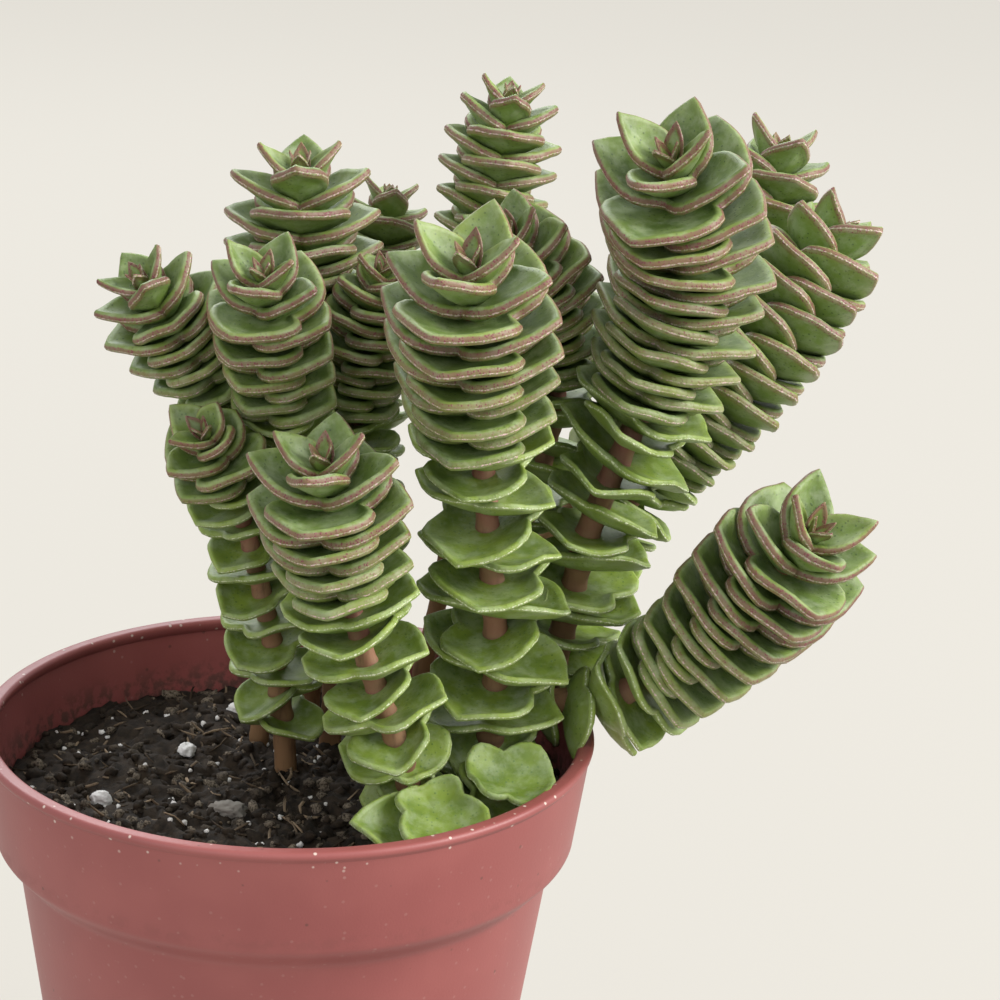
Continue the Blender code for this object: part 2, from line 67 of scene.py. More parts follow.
# ---- Node graphs
class Socket:
    """A number on its way between nodes: arithmetic on it adds Math nodes."""

    def __init__(self, graph: Graph, link: bpy.types.NodeSocket) -> None:
        """Wrap an output socket of a node in graph."""
        self.graph = graph
        self.link = link

    def maths(self, operation: str, *others: Socket | float) -> Socket:
        """Apply a Math operation."""
        return self.graph.node("ShaderNodeMath", {"operation": operation}, [self, *others])

    def flipped(self, operation: str, other: float) -> Socket:
        """Apply a Math operation whose first operand is a plain number."""
        return self.graph.node("ShaderNodeMath", {"operation": operation}, [other, self])

    def __add__(self, other: Socket | float) -> Socket:
        """Sum."""
        return self.maths("ADD", other)

    def __radd__(self, other: float) -> Socket:
        """Sum with a number on the left."""
        return self.flipped("ADD", other)

    def __sub__(self, other: Socket | float) -> Socket:
        """Difference."""
        return self.maths("SUBTRACT", other)

    def __rsub__(self, other: float) -> Socket:
        """Difference with a number on the left."""
        return self.flipped("SUBTRACT", other)

    def __mul__(self, other: Socket | float) -> Socket:
        """Product."""
        return self.maths("MULTIPLY", other)

    def __rmul__(self, other: float) -> Socket:
        """Product with a number on the left."""
        return self.flipped("MULTIPLY", other)

    def __truediv__(self, other: Socket | float) -> Socket:
        """Quotient."""
        return self.maths("DIVIDE", other)

    def __pow__(self, other: float) -> Socket:
        """Power."""
        return self.maths("POWER", other)

    def size(self) -> Socket:
        """Value without its sign."""
        return self.maths("ABSOLUTE")

    def least(self, other: Socket | float) -> Socket:
        """Smaller of the two."""
        return self.maths("MINIMUM", other)

    def between(self, low: float, high: float) -> Socket:
        """Ease from 0 at low to 1 at high; low may be the larger.

        Args:
            low: value that gives 0.
            high: value that gives 1.

        Returns:
            The eased share.
        """
        settings = {"interpolation_type": "SMOOTHSTEP"}
        if low > high:
            return self.graph.node("ShaderNodeMapRange", settings, [self, high, low, 1.0, 0.0])
        return self.graph.node("ShaderNodeMapRange", settings, [self, low, high, 0.0, 1.0])


class Arrow(Socket):
    """A vector on its way between nodes."""

    def __add__(self, other: Arrow) -> Arrow:
        """Vector sum."""
        return self.graph.arrow("ShaderNodeVectorMath", {"operation": "ADD"}, [self, other])

    def __mul__(self, other: Socket | float) -> Arrow:
        """Vector scaled by a number."""
        values = {0: self, "Scale": other}
        return self.graph.arrow("ShaderNodeVectorMath", {"operation": "SCALE"}, values)

    def dot(self, other: Arrow) -> Socket:
        """Dot product."""
        settings = {"operation": "DOT_PRODUCT"}
        return self.graph.node("ShaderNodeVectorMath", settings, [self, other], "Value")

    def parts(self) -> tuple[Socket, Socket, Socket]:
        """X, Y and Z parts."""
        split = self.graph.add("ShaderNodeSeparateXYZ", {}, [self])
        return tuple(Socket(self.graph, split.outputs[index]) for index in range(3))


class Graph:
    """A node tree with one way of adding nodes to it."""

    def __init__(self, tree: bpy.types.NodeTree) -> None:
        """Start on an empty tree."""
        self.tree = tree
        tree.nodes.clear()

    def add(self, kind: str, settings: dict, values: list | dict) -> bpy.types.Node:
        """Add a node.

        Args:
            kind: the node's type.
            settings: its own properties; "stops" is a colour ramp's (position, colour) list.
            values: socket values or links, listed in order or keyed by index or name.

        Returns:
            The node.
        """
        node = self.tree.nodes.new(kind)
        for key, value in settings.items():
            if key == "stops":
                ramp = node.color_ramp
                for index, (place, colour) in enumerate(value):
                    stop = ramp.elements[index] if index < 2 else ramp.elements.new(place)
                    stop.position = place
                    stop.color = (*colour, 1)
            else:
                setattr(node, key, value)
        pairs = values.items() if isinstance(values, dict) else enumerate(values)
        for key, value in pairs:
            if isinstance(value, Socket):
                self.tree.links.new(value.link, node.inputs[key])
            elif value is not None:
                node.inputs[key].default_value = value
        return node

    def node(self, kind: str, settings: dict, values: list | dict,
             output: int | str = 0) -> Socket:
        """Add a node and take a number from it."""
        return Socket(self, self.add(kind, settings, values).outputs[output])

    def arrow(self, kind: str, settings: dict, values: list | dict,
              output: int | str = 0) -> Arrow:
        """Add a node and take a vector from it."""
        return Arrow(self, self.add(kind, settings, values).outputs[output])


class Recipe(Graph):
    """The node tree of one material, on Object coordinates."""
    share_edge: float = 0.02

    def __init__(self, name: str) -> None:
        """Make the material.

        Args:
            name: the material's name.
        """
        self.material = bpy.data.materials.new(name)
        self.material.use_nodes = True
        super().__init__(self.material.node_tree)
        self.place = self.arrow("ShaderNodeTexCoord", {}, [], "Object")

    def grain(self, scale: float, detail: float = 2.0, rough: float = 0.5,
              stretch: Vector | None = None) -> Socket:
        """Noise over the surface.

        Args:
            scale: bumps per metre.
            detail: octaves.
            rough: weight of the finer octaves.
            stretch: factor on each axis, or None.

        Returns:
            A value about 0.5.
        """
        place = self.place
        if stretch is not None:
            place = self.arrow("ShaderNodeMapping", {}, {"Vector": place, "Scale": stretch})
        values = {"Vector": place, "Scale": scale, "Detail": detail, "Roughness": rough}
        return self.node("ShaderNodeTexNoise", {}, values, "Fac")

    def spots(self, scale: float, radius: float, share: float = 1.0) -> Socket:
        """Round spots strewn over the surface.

        Args:
            scale: spots per metre.
            radius: of a spot, in cell widths.
            share: of the cells that have a spot.

        Returns:
            1 inside a spot.
        """
        cells = self.add("ShaderNodeTexVoronoi", {}, {"Vector": self.place, "Scale": scale})
        near = Socket(self, cells.outputs["Distance"]).between(radius, 0.5 * radius)
        chance = Arrow(self, cells.outputs["Color"]).parts()[0]
        return near * chance.between(share + self.share_edge, share - self.share_edge)

    def attribute(self, name: str) -> Socket:
        """Read a number stored on the mesh."""
        return self.node("ShaderNodeAttribute", {"attribute_name": name}, [], "Fac")

    def blend(self, first: Socket | Colour, second: Socket | Colour,
              share: Socket | float) -> Socket:
        """Mix two colours.

        Args:
            first: colour at share 0.
            second: colour at share 1.
            share: how much of the second.

        Returns:
            The mixed colour.
        """
        ends = [(*value, 1) if isinstance(value, tuple) else value for value in (first, second)]
        settings = {"data_type": "RGBA", "clamp_factor": True}
        return self.node("ShaderNodeMix", settings, {0: share, 6: ends[0], 7: ends[1]}, 2)

    def shade(self, colour: Socket, rough: Socket | float, height: Socket, depth: float,
              fixed: dict | None = None) -> bpy.types.Material:
        """Finish the material.

        Args:
            colour: base colour.
            rough: roughness.
            height: relief, from 0 to 1.
            depth: of the relief, in metres.
            fixed: further socket values that are the same all over.

        Returns:
            The material.
        """
        bump = self.arrow("ShaderNodeBump", {},
                          {"Strength": 1.0, "Distance": depth, "Height": height})
        values = {"Base Color": colour, "Roughness": rough, "Normal": bump, **(fixed or {})}
        return self.surface(values)

    def surface(self, values: dict) -> bpy.types.Material:
        """End the tree in a Principled shader.

        Args:
            values: its sockets' values or links.

        Returns:
            The material.
        """
        shader = self.node("ShaderNodeBsdfPrincipled", {}, values)
        self.add("ShaderNodeOutputMaterial", {}, {"Surface": shader})
        return self.material


class Layout(Graph):
    """A Geometry Nodes tree with named inputs, turned into a plain mesh when it is run."""
    random_sockets: dict[str, tuple[int, int]] = {
        "FLOAT_VECTOR": (0, 0), "FLOAT": (2, 1), "INT": (4, 2)}

    def __init__(self, name: str) -> None:
        """Make an empty tree whose first input is the geometry.

        Args:
            name: the tree's name.
        """
        self.group = bpy.data.node_groups.new(name, "GeometryNodeTree")
        super().__init__(self.group)
        for way in ("OUTPUT", "INPUT"):
            self.group.interface.new_socket("Geometry", in_out=way,
                                            socket_type="NodeSocketGeometry")
        self.entry = self.tree.nodes.new("NodeGroupInput")
        self.values: dict[str, object] = {}

    def geometry(self) -> Socket:
        """Geometry that the modifier is on."""
        return Socket(self, self.entry.outputs[0])

    def given(self, name: str, kind: str, value: object) -> Socket:
        """Add a named input.

        Args:
            name: the input's name.
            kind: the end of its socket type, such as Float.
            value: what the modifier sets it to.

        Returns:
            The input's socket inside the tree.
        """
        socket = self.group.interface.new_socket(name, in_out="INPUT",
                                                 socket_type="NodeSocket" + kind)
        self.values[socket.identifier] = value
        return Socket(self, self.entry.outputs[name])

    def named(self, name: str, vector: bool = False) -> Socket:
        """Read an attribute.

        Args:
            name: the attribute's name.
            vector: whether it holds a vector.

        Returns:
            The attribute.
        """
        settings = {"data_type": "FLOAT_VECTOR" if vector else "FLOAT"}
        take = self.arrow if vector else self.node
        return take("GeometryNodeInputNamedAttribute", settings, {"Name": name})

    def store(self, shape: Socket, name: str, value: Socket, domain: str = "POINT") -> Socket:
        """Store a number on the geometry.

        Args:
            shape: the geometry.
            name: the attribute's name.
            value: what is stored.
            domain: where it is stored.

        Returns:
            The geometry with it.
        """
        settings = {"data_type": "FLOAT", "domain": domain}
        return self.node("GeometryNodeStoreNamedAttribute", settings,
                         {"Geometry": shape, "Name": name, "Value": value})

    def chance(self, kind: str, seed: int, low: object, high: object) -> Socket:
        """Draw a random value for each point.

        Args:
            kind: the draw's data type: FLOAT_VECTOR, FLOAT or INT.
            seed: the draw's own seed.
            low: least value.
            high: greatest value.

        Returns:
            The value.
        """
        first, output = self.random_sockets[kind]
        values = {"Seed": seed, first: low, first + 1: high}
        return self.node("FunctionNodeRandomValue", {"data_type": kind}, values, output)

    def copies(self, points: Socket, patterns: Socket, pick: Socket,
               values: dict | None = None) -> Socket:
        """Put a pattern on every point.

        Args:
            points: where they go.
            patterns: the collection that they come from.
            pick: number of the pattern at each point.
            values: further socket values, such as a rotation.

        Returns:
            The instances.
        """
        source = self.node("GeometryNodeCollectionInfo", {}, {
            "Collection": patterns, "Separate Children": True, "Reset Children": True})
        return self.node("GeometryNodeInstanceOnPoints", {}, {
            "Points": points, "Instance": source, "Pick Instance": True,
            "Instance Index": pick, **(values or {})})

    def finish(self, shape: Socket, material: bpy.types.Material) -> None:
        """End the tree with real geometry and its material.

        Args:
            shape: what the tree made.
            material: its finish.
        """
        real = self.node("GeometryNodeRealizeInstances", {}, {"Geometry": shape})
        finish = self.given("Finish", "Material", material)
        dressed = self.node("GeometryNodeSetMaterial", {}, {"Geometry": real, "Material": finish})
        self.add("NodeGroupOutput", {}, {0: dressed})

    def run(self, name: str, seed_mesh: bpy.types.Mesh) -> bpy.types.Object:
        """Run the tree on a mesh.

        Args:
            name: the new object's name.
            seed_mesh: the mesh that the tree starts from.

        Returns:
            A plain mesh object with the result.
        """
        carrier = add_object(name + "_layout", seed_mesh)
        modifier = carrier.modifiers.new("layout", "NODES")
        modifier.node_group = self.group
        for identifier, value in self.values.items():
            modifier[identifier] = value
        mesh = evaluated_mesh(carrier)
        carrier.modifiers.remove(modifier)
        bpy.data.objects.remove(carrier)
        mesh.name = name
        mesh.shade_smooth()
        return add_object(name, mesh)


# ---- Mesh helpers
def add_object(name: str, mesh: bpy.types.Mesh) -> bpy.types.Object:
    """Put a mesh in the scene.

    Args:
        name: the object's name.
        mesh: its mesh.

    Returns:
        The object.
    """
    item = bpy.data.objects.new(name, mesh)
    bpy.context.scene.collection.objects.link(item)
    return item


def evaluated_mesh(item: bpy.types.Object) -> bpy.types.Mesh:
    """Make a plain mesh of an object with its modifiers applied."""
    graph = bpy.context.evaluated_depsgraph_get()
    return bpy.data.meshes.new_from_object(item.evaluated_get(graph))


def from_bmesh(name: str, work: bmesh.types.BMesh) -> bpy.types.Mesh:
    """Turn a working mesh into a finished one.

    Args:
        name: the mesh's name.
        work: the working mesh, which is freed.

    Returns:
        The mesh.
    """
    mesh = bpy.data.meshes.new(name)
    work.to_mesh(mesh)
    work.free()
    return mesh


def hidden_collection(name: str, items: list[bpy.types.Object]) -> bpy.types.Collection:
    """Keep objects that only serve as patterns out of the scene.

    Args:
        name: the collection's name.
        items: the objects.

    Returns:
        The collection, linked to nothing.
    """
    collection = bpy.data.collections.new(name)
    for item in items:
        for old in list(item.users_collection):
            old.objects.unlink(item)
        collection.objects.link(item)
    return collection


def store(mesh: bpy.types.Mesh, name: str, values: list) -> None:
    """Store a number or a vector for each point of a mesh.

    Args:
        mesh: the mesh.
        name: the attribute's name.
        values: one value for each point.
    """
    vector = isinstance(values[0], (Vector, tuple))
    attribute = mesh.attributes.new(name, "FLOAT_VECTOR" if vector else "FLOAT", "POINT")
    if vector:
        attribute.data.foreach_set("vector", [part for value in values for part in value])
    else:
        attribute.data.foreach_set("value", values)


def attach(piece: bpy.types.Object, slot: str, *nodes: str) -> None:
    """Say what a piece rides on and hide the nodes that it stands for.

    Args:
        piece: the finished piece.
        slot: not used.
        nodes: the CAD nodes that it replaces.
    """
    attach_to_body(piece, "root")
    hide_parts(*nodes)
    LOG.info("%s: %d faces", piece.name, len(piece.data.polygons))


def ease(low: float, high: float, value: float) -> float:
    """Ease from 0 at low to 1 at high."""
    share = min(max((value - low) / (high - low), 0), 1)
    return share * share * (3 - 2 * share)


def arc(centre: Pair, radius: float, start: float, end: float, count: int) -> list[Pair]:
    """Points on an arc in the XZ plane.

    Args:
        centre: the arc's middle.
        radius: its radius.
        start: first angle, degrees from +X towards +Z.
        end: last angle.
        count: steps between them.

    Returns:
        count + 1 points.
    """
    points = []
    for index in range(count + 1):
        angle = math.radians(start + (end - start) * index / count)
        points.append((centre[0] + radius * math.cos(angle), centre[1] + radius * math.sin(angle)))
    return points


def soft_step(top: Pair, foot: Pair, count: int) -> list[Pair]:
    """Points of an S-shaped step between two points of a wall.

    Args:
        top: upper end.
        foot: lower end.
        count: steps between them.

    Returns:
        count + 1 points.
    """
    points = []
    for index in range(count + 1):
        share = index / count
        points.append((top[0] + (foot[0] - top[0]) * ease(0, 1, share),
                       top[1] + (foot[1] - top[1]) * share))
    return points


def straight(top: Pair, foot: Pair, count: int) -> list[Pair]:
    """Points between the ends of a straight wall, without the ends.

    Args:
        top: upper end.
        foot: lower end.
        count: steps between them.

    Returns:
        count - 1 points.
    """
    points = []
    for index in range(1, count):
        share = index / count
        points.append((top[0] + (foot[0] - top[0]) * share, top[1] + (foot[1] - top[1]) * share))
    return points


def turned(name: str, profile: list[Pair], sides: int) -> bpy.types.Mesh:
    """Turn a closed profile round Z.

    Args:
        name: the mesh's name.
        profile: (radius, height) points; a point on the axis becomes a pole.
        sides: corners round the axis.

    Returns:
        The mesh, facing out.
    """
    work = bmesh.new()
    rings = []
    for radius, height in profile:
        if radius == 0:
            rings.append([work.verts.new((0, 0, height))] * sides)
            continue
        turns = [2 * math.pi * index / sides for index in range(sides)]
        rings.append([work.verts.new((radius * math.cos(turn), radius * math.sin(turn), height))
                      for turn in turns])
    for lower, upper in zip(rings, rings[1:]):
        for index in range(sides):
            ahead = (index + 1) % sides
            corners = dict.fromkeys((lower[index], lower[ahead], upper[ahead], upper[index]))
            if len(corners) > 2:
                work.faces.new(tuple(corners))
    bmesh.ops.remove_doubles(work, verts=work.verts, dist=MERGE_DISTANCE)
    bmesh.ops.recalc_face_normals(work, faces=work.faces)
    return from_bmesh(name, work)


# ---- Pot
@dataclass(frozen=True)
class PlasticFinish:
    """Matt terracotta-pink moulded plastic, dusty near the rim."""
    name: str = "pot_plastic"
    body: Colour = (0.235, 0.060, 0.056)
    worn: Colour = (0.30, 0.088, 0.080)
    dust: Colour = (0.62, 0.52, 0.45)
    dirt: Colour = (0.05, 0.03, 0.02)
    soil_level: float = 82 * MM
    rim_height: float = 95 * MM
    dusty_depth: float = 5.5 * MM
    dusty_edge: float = 0.5 * MM
    inner_reach: Pair = (50.2 * MM, 49.6 * MM)
    splash_rise: float = 7 * MM
    splash_sink: float = 6 * MM
    relief: float = 0.06 * MM
    gloss: float = 0.45

    def build(self) -> bpy.types.Material:
        """Make the material.

        Returns:
            The material.
        """
        recipe = Recipe(self.name)
        x, y, z = recipe.place.parts()
        reach = (x * x + y * y) ** 0.5
        cloud = recipe.grain(45, 3.0)
        flow = recipe.grain(160, 2.0, 0.6, Vector((1, 1, 0.12)))
        fine = recipe.grain(2600, 2.0)
        colour = recipe.blend(self.body, self.worn,
                              cloud.between(0.35, 0.75) * 0.55 + flow * 0.18)
        top = z.between(self.rim_height - self.dusty_depth, self.rim_height - self.dusty_edge)
        specks = recipe.spots(620, 0.22, 0.34) * (top * 0.75 + 0.08)
        colour = recipe.blend(colour, self.dust, specks)
        pits = recipe.spots(300, 0.12, 0.3) * 0.5
        colour = recipe.blend(colour, self.dirt, pits)
        above_soil = z.between(self.soil_level - self.splash_sink, self.soil_level)
        inside = reach.between(*self.inner_reach) * above_soil
        splash = z.between(self.soil_level + self.splash_rise, self.soil_level) * inside
        smear = splash * recipe.grain(420, 4.0, 0.6).between(0.42, 0.6)
        colour = recipe.blend(colour, self.dirt, smear * 0.8)
        rough = cloud * 0.16 + flow * 0.08 + smear * 0.35 + 0.34
        height = fine * 0.35 + flow * 0.4 + specks * 0.5
        return recipe.shade(colour, rough, height, self.relief, {"Specular IOR Level": self.gloss})


@dataclass
class Pot:
    """The round nursery pot: lip, upper band, soft step, tapered wall and drained floor."""
    height: float = 95 * MM
    rim_radius: float = 52.5 * MM
    rim_width: float = 2.8 * MM
    rim_depth: float = 1.6 * MM
    band_height: float = 18 * MM
    band_taper: float = 2.7 * MM
    step_height: float = 5.7 * MM
    step_inset: float = 4.0 * MM
    wall_taper: float = 0.138
    wall: float = 1.4 * MM
    floor: float = 2.0 * MM
    lip_gap: float = 0.6 * MM
    foot: float = 1.2 * MM
    sides: int = 160
    drain_count: int = 8
    drain_radius: float = 3.5 * MM
    drain_inset: float = 11 * MM
    drain_corners: int = 28
    wall_steps: int = 12
    lip_fillet: float = 0.2 * MM
    lip_fillet_drop: float = 0.35 * MM
    lip_inner_pull: Pair = (0.15 * MM, 0.1 * MM)
    floor_fillet: float = 1 * MM
    floor_ring: float = 0.55
    sharp_angle: float = 50
    finish: PlasticFinish = field(default_factory=PlasticFinish)

    def __post_init__(self) -> None:
        """Work out the radii at the band's foot, the step's foot and the base."""
        self.band_foot = self.height - self.band_height
        self.band_radius = self.rim_radius - self.band_taper
        self.step_radius = self.band_radius - self.step_inset
        self.step_foot = self.band_foot - self.step_height
        self.base_radius = self.step_radius - self.wall_taper * self.step_foot

    def profile(self) -> list[Pair]:
        """Outline of the wall, down its outer side and up its inner side.

        Returns:
            (radius, height) points, the first repeated at the end.
        """
        edge = self.rim_depth / 2
        lip_foot = self.height - self.rim_depth
        outer_top = self.rim_radius - self.lip_gap
        inner_top = outer_top - self.wall
        lip_inside = self.rim_radius - self.rim_width
        upper_end, band_end = (outer_top, lip_foot - edge), (self.band_radius, self.band_foot)
        step_end, base_end = (self.step_radius, self.step_foot), (self.base_radius, self.foot)
        ring = self.floor_ring * self.base_radius
        pull_in, pull_down = self.lip_inner_pull
        points = [(lip_inside + edge, self.height)]
        points += arc((self.rim_radius - edge, self.height - edge), edge, 90, -60, 8)
        points += arc((outer_top + self.lip_fillet, lip_foot - self.lip_fillet_drop),
                      self.lip_fillet, 120, 180, 3)
        points += straight(upper_end, band_end, self.wall_steps)
        points += soft_step(band_end, step_end, 14)
        points += straight(step_end, base_end, self.wall_steps)
        points += arc((self.base_radius - self.foot, self.foot), self.foot, 0, -90, 6)
        points += [(ring, 0), (0.0, 0), (0.0, self.floor), (ring, self.floor)]
        points += arc((self.base_radius - self.wall - self.floor_fillet,
                       self.floor + self.floor_fillet), self.floor_fillet, -90, 0, 4)
        points += soft_step((self.step_radius - self.wall, self.step_foot),
                            (self.band_radius - self.wall, self.band_foot), 10)
        points += [(inner_top, lip_foot - edge), (lip_inside + pull_in, lip_foot - pull_down)]
        points += arc((lip_inside + edge, self.height - edge), edge, 180, 90, 5)
        return points

    def build(self) -> bpy.types.Object:
        """Build the pot and cut its drain holes.

        Returns:
            The dressed pot.
        """
        pot = add_object("nursery_pot", turned("nursery_pot", self.profile(), self.sides))
        holes = bmesh.new()
        for index in range(self.drain_count):
            angle = 2 * math.pi * (index + 0.5) / self.drain_count
            reach = self.base_radius - self.drain_inset
            middle = Vector((reach * math.cos(angle), reach * math.sin(angle), self.floor / 2))
            bmesh.ops.create_cone(holes, cap_ends=True, segments=self.drain_corners,
                                  radius1=self.drain_radius, radius2=self.drain_radius,
                                  depth=3 * self.floor, matrix=Matrix.Translation(middle))
        cutter = add_object("drain_holes", from_bmesh("drain_holes", holes))
        boolean = pot.modifiers.new("drain", "BOOLEAN")
        boolean.operation = "DIFFERENCE"
        boolean.solver = "EXACT"
        boolean.object = cutter
        pot.data = evaluated_mesh(pot)
        pot.modifiers.clear()
        bpy.data.objects.remove(cutter)
        pot.data.shade_smooth()
        pot.data.set_sharp_from_angle(angle=math.radians(self.sharp_angle))
        pot.data.materials.clear()
        pot.data.materials.append(self.finish.build())
        attach(pot, "pot_plastic", "pot")
        return pot


# ---- Soil
class Grit(Enum):
    """What a loose bit in the soil is made of; the value is what its mesh carries."""
    CRUMB = 0.0
    FIBRE = 1.0
    PERLITE = 2.0


@dataclass(frozen=True)
class PeatFinish:
    """Dark damp peat with paler dry fibres and white perlite grains."""
    name: str = "peat"
    dark: Colour = (0.007, 0.005, 0.003)
    brown: Colour = (0.042, 0.028, 0.016)
    dry: Colour = (0.22, 0.18, 0.13)
    straw: Colour = (0.30, 0.22, 0.14)
    white: Colour = (0.78, 0.76, 0.72)
    relief: float = 0.5 * MM
    gloss: float = 0.3

    def build(self) -> bpy.types.Material:
        """Make the material.

        Returns:
            The material.
        """
        recipe = Recipe(self.name)
        kind = recipe.attribute("kind")
        tone = recipe.attribute("tone")
        rough = recipe.grain(500, 5.0, 0.65)
        fine = recipe.grain(2400, 4.0, 0.7)
        colour = recipe.blend(self.dark, self.brown, rough.between(0.35, 0.65) * 0.6 + fine * 0.3)
        colour = recipe.blend(colour, self.dry, tone.between(0.5, 1.0) * fine.between(0.36, 0.60))
        fibre = recipe.blend(self.brown, self.straw, tone)
        colour = recipe.blend(colour, fibre, kind.between(0.4, 0.6))
        white = recipe.blend(self.white, self.dry, rough.between(0.55, 0.75) * 0.5)
        colour = recipe.blend(colour, white, kind.between(1.4, 1.6))
        return recipe.shade(colour, 0.75 + fine * 0.25, rough * 0.6 + fine * 0.4, self.relief,
                            {"Specular IOR Level": self.gloss})


@dataclass(frozen=True)
class Bit:
    """One pattern of loose bit, its half sizes in millimetres."""
    kind: Grit
    half: Triple


BITS = (
    Bit(Grit.CRUMB, (1.3, 1.0, 0.8)), Bit(Grit.CRUMB, (0.8, 0.7, 0.6)),
    Bit(Grit.CRUMB, (1.9, 1.2, 0.9)), Bit(Grit.CRUMB, (0.6, 0.5, 0.45)),
    Bit(Grit.CRUMB, (1.0, 0.9, 0.5)), Bit(Grit.CRUMB, (0.7, 0.6, 0.6)),
    Bit(Grit.CRUMB, (1.5, 0.8, 0.6)), Bit(Grit.FIBRE, (3.0, 0.22, 0.2)),
    Bit(Grit.FIBRE, (1.8, 0.3, 0.22)), Bit(Grit.CRUMB, (0.5, 0.4, 0.4)),
    Bit(Grit.CRUMB, (1.1, 0.8, 0.7)), Bit(Grit.PERLITE, (0.55, 0.5, 0.4)),
)


@dataclass
class SoilBed:
    """Peat filling the pot, its top strewn with crumbs, fibres and grains."""
    pot: Pot
    level: float = 82 * MM
    gap: float = 0.3 * MM
    bump: float = 2.2 * MM
    bump_size: float = 11 * MM
    clod: float = 1.9 * MM
    clod_size: float = 3.2 * MM
    rings: int = 46
    sides: int = 150
    strewn_share: float = 0.985
    bed_tone: float = 0.3
    crumb_density: float = 210000.0
    bit_tilt: float = 0.7
    bit_spin: float = 6.28
    bit_scale: Pair = (0.55, 1.25)
    bit_unevenness: float = 0.7
    fibre_bend: float = 0.35
    seed: int = 7
    finish: PeatFinish = field(default_factory=PeatFinish)

    def radius(self) -> float:
        """Radius of the soil's top, just inside the pot's wall.

        Returns:
            The radius.
        """
        pot = self.pot
        band_top = pot.height - 1.5 * pot.rim_depth
        share = (self.level - pot.band_foot) / (band_top - pot.band_foot)
        inner = pot.band_radius - pot.wall
        return inner + (pot.rim_radius - pot.lip_gap - pot.wall - inner) * share - self.gap

    def height(self, x: float, y: float) -> float:
        """Height of the uneven top.

        Args:
            x: place in plan.
            y: place in plan.

        Returns:
            The height above the pot's underside.
        """
        swell = noise.noise(Vector((x, y, 0.011)) / self.bump_size)
        clods = abs(noise.noise(Vector((x, y, 0.027)) / self.clod_size))
        fine = noise.noise(Vector((x, y, 0.043)) / (0.4 * self.clod_size))
        broad = self.level + self.bump * swell
        return broad + self.clod * (0.4 - 1.6 * clods) + 0.45 * self.clod * fine

    def base_mesh(self) -> bpy.types.Mesh:
        """Build the bed itself.

        Returns:
            A closed mesh that fills the pot.
        """
        pot, edge = self.pot, self.radius()
        inset = pot.wall + self.gap
        profile = [(edge * index / self.rings, self.level) for index in range(self.rings + 1)]
        profile += soft_step((pot.band_radius - inset, pot.band_foot),
                             (pot.step_radius - inset, pot.step_foot), 5)
        profile += [(pot.base_radius - inset, pot.floor + self.gap), (0.0, pot.floor + self.gap)]
        mesh = turned("soil_bed", profile, self.sides)
        top = []
        for vertex in mesh.vertices:
            x, y, z = vertex.co
            on_top = z > self.level - self.gap
            strewn = on_top and math.hypot(x, y) < self.strewn_share * edge
            top.append(1.0 if strewn else 0.0)
            if on_top:
                vertex.co.z = self.height(x, y)
        store(mesh, "top", top)
        store(mesh, "kind", [Grit.CRUMB.value] * len(mesh.vertices))
        store(mesh, "tone", [self.bed_tone] * len(mesh.vertices))
        return mesh

    def bit(self, number: int, bit: Bit) -> bpy.types.Object:
        """Build one loose bit as a rounded rough lump.

        Args:
            number: its place in the list, which also shifts its roughness.
            bit: its kind and size.

        Returns:
            The bit at the origin.
        """
        size = Vector(bit.half) * MM
        shift = Vector((3.1 * number, 0, 0))
        work = bmesh.new()
        bmesh.ops.create_cube(work, size=2)
        bmesh.ops.subdivide_edges(work, edges=work.edges, cuts=1, use_grid_fill=True)
        for vertex in work.verts:
            way = vertex.co.normalized()
            uneven = 1 + self.bit_unevenness * noise.noise(way * 1.6 + shift)
            bend = self.fibre_bend * size.x * (way.x ** 2) if bit.kind is Grit.FIBRE else 0.0
            spot = Vector((way.x * size.x, way.y * size.y + bend, way.z * size.z))
            vertex.co = spot * uneven
        name = f"soil_bit_{number:02d}"
        mesh = from_bmesh(name, work)
        store(mesh, "kind", [bit.kind.value] * len(mesh.vertices))
        return add_object(name, mesh)

    def build(self) -> bpy.types.Object:
        """Strew the bits over the bed and join them to it.

        Returns:
            The dressed soil.
        """
        layout = Layout("strewn_soil")
        density = layout.given("Crumbs per area", "Float", self.crumb_density)
        seed = layout.given("Seed", "Int", self.seed)
        bits = [self.bit(number, bit) for number, bit in enumerate(BITS)]
        patterns = layout.given("Bits", "Collection", hidden_collection("soil_bits", bits))
        spread = layout.node("GeometryNodeDistributePointsOnFaces",
                             {"distribute_method": "RANDOM"},
                             {"Mesh": layout.geometry(), "Selection": layout.named("top"),
                              "Density": density, "Seed": seed}, "Points")
        chosen = layout.chance("INT", 3, 0, len(BITS) - 1)
        turn = layout.chance("FLOAT_VECTOR", 5, (-self.bit_tilt, -self.bit_tilt, 0),
                             (self.bit_tilt, self.bit_tilt, self.bit_spin))
        size = layout.chance("FLOAT", 9, *self.bit_scale)
        tone = layout.chance("FLOAT", 11, 0.0, 1.0)
        strewn = layout.copies(spread, patterns, chosen, {"Rotation": turn, "Scale": size})
        strewn = layout.store(strewn, "tone", tone, "INSTANCE")
        joined = layout.node("GeometryNodeJoinGeometry", {}, {})
        for part in (layout.geometry(), strewn):
            layout.tree.links.new(part.link, joined.link.node.inputs[0])
        layout.finish(joined, self.finish.build())
        soil = layout.run("peat_bed", self.base_mesh())
        attach(soil, "potting_soil", "soil")
        return soil


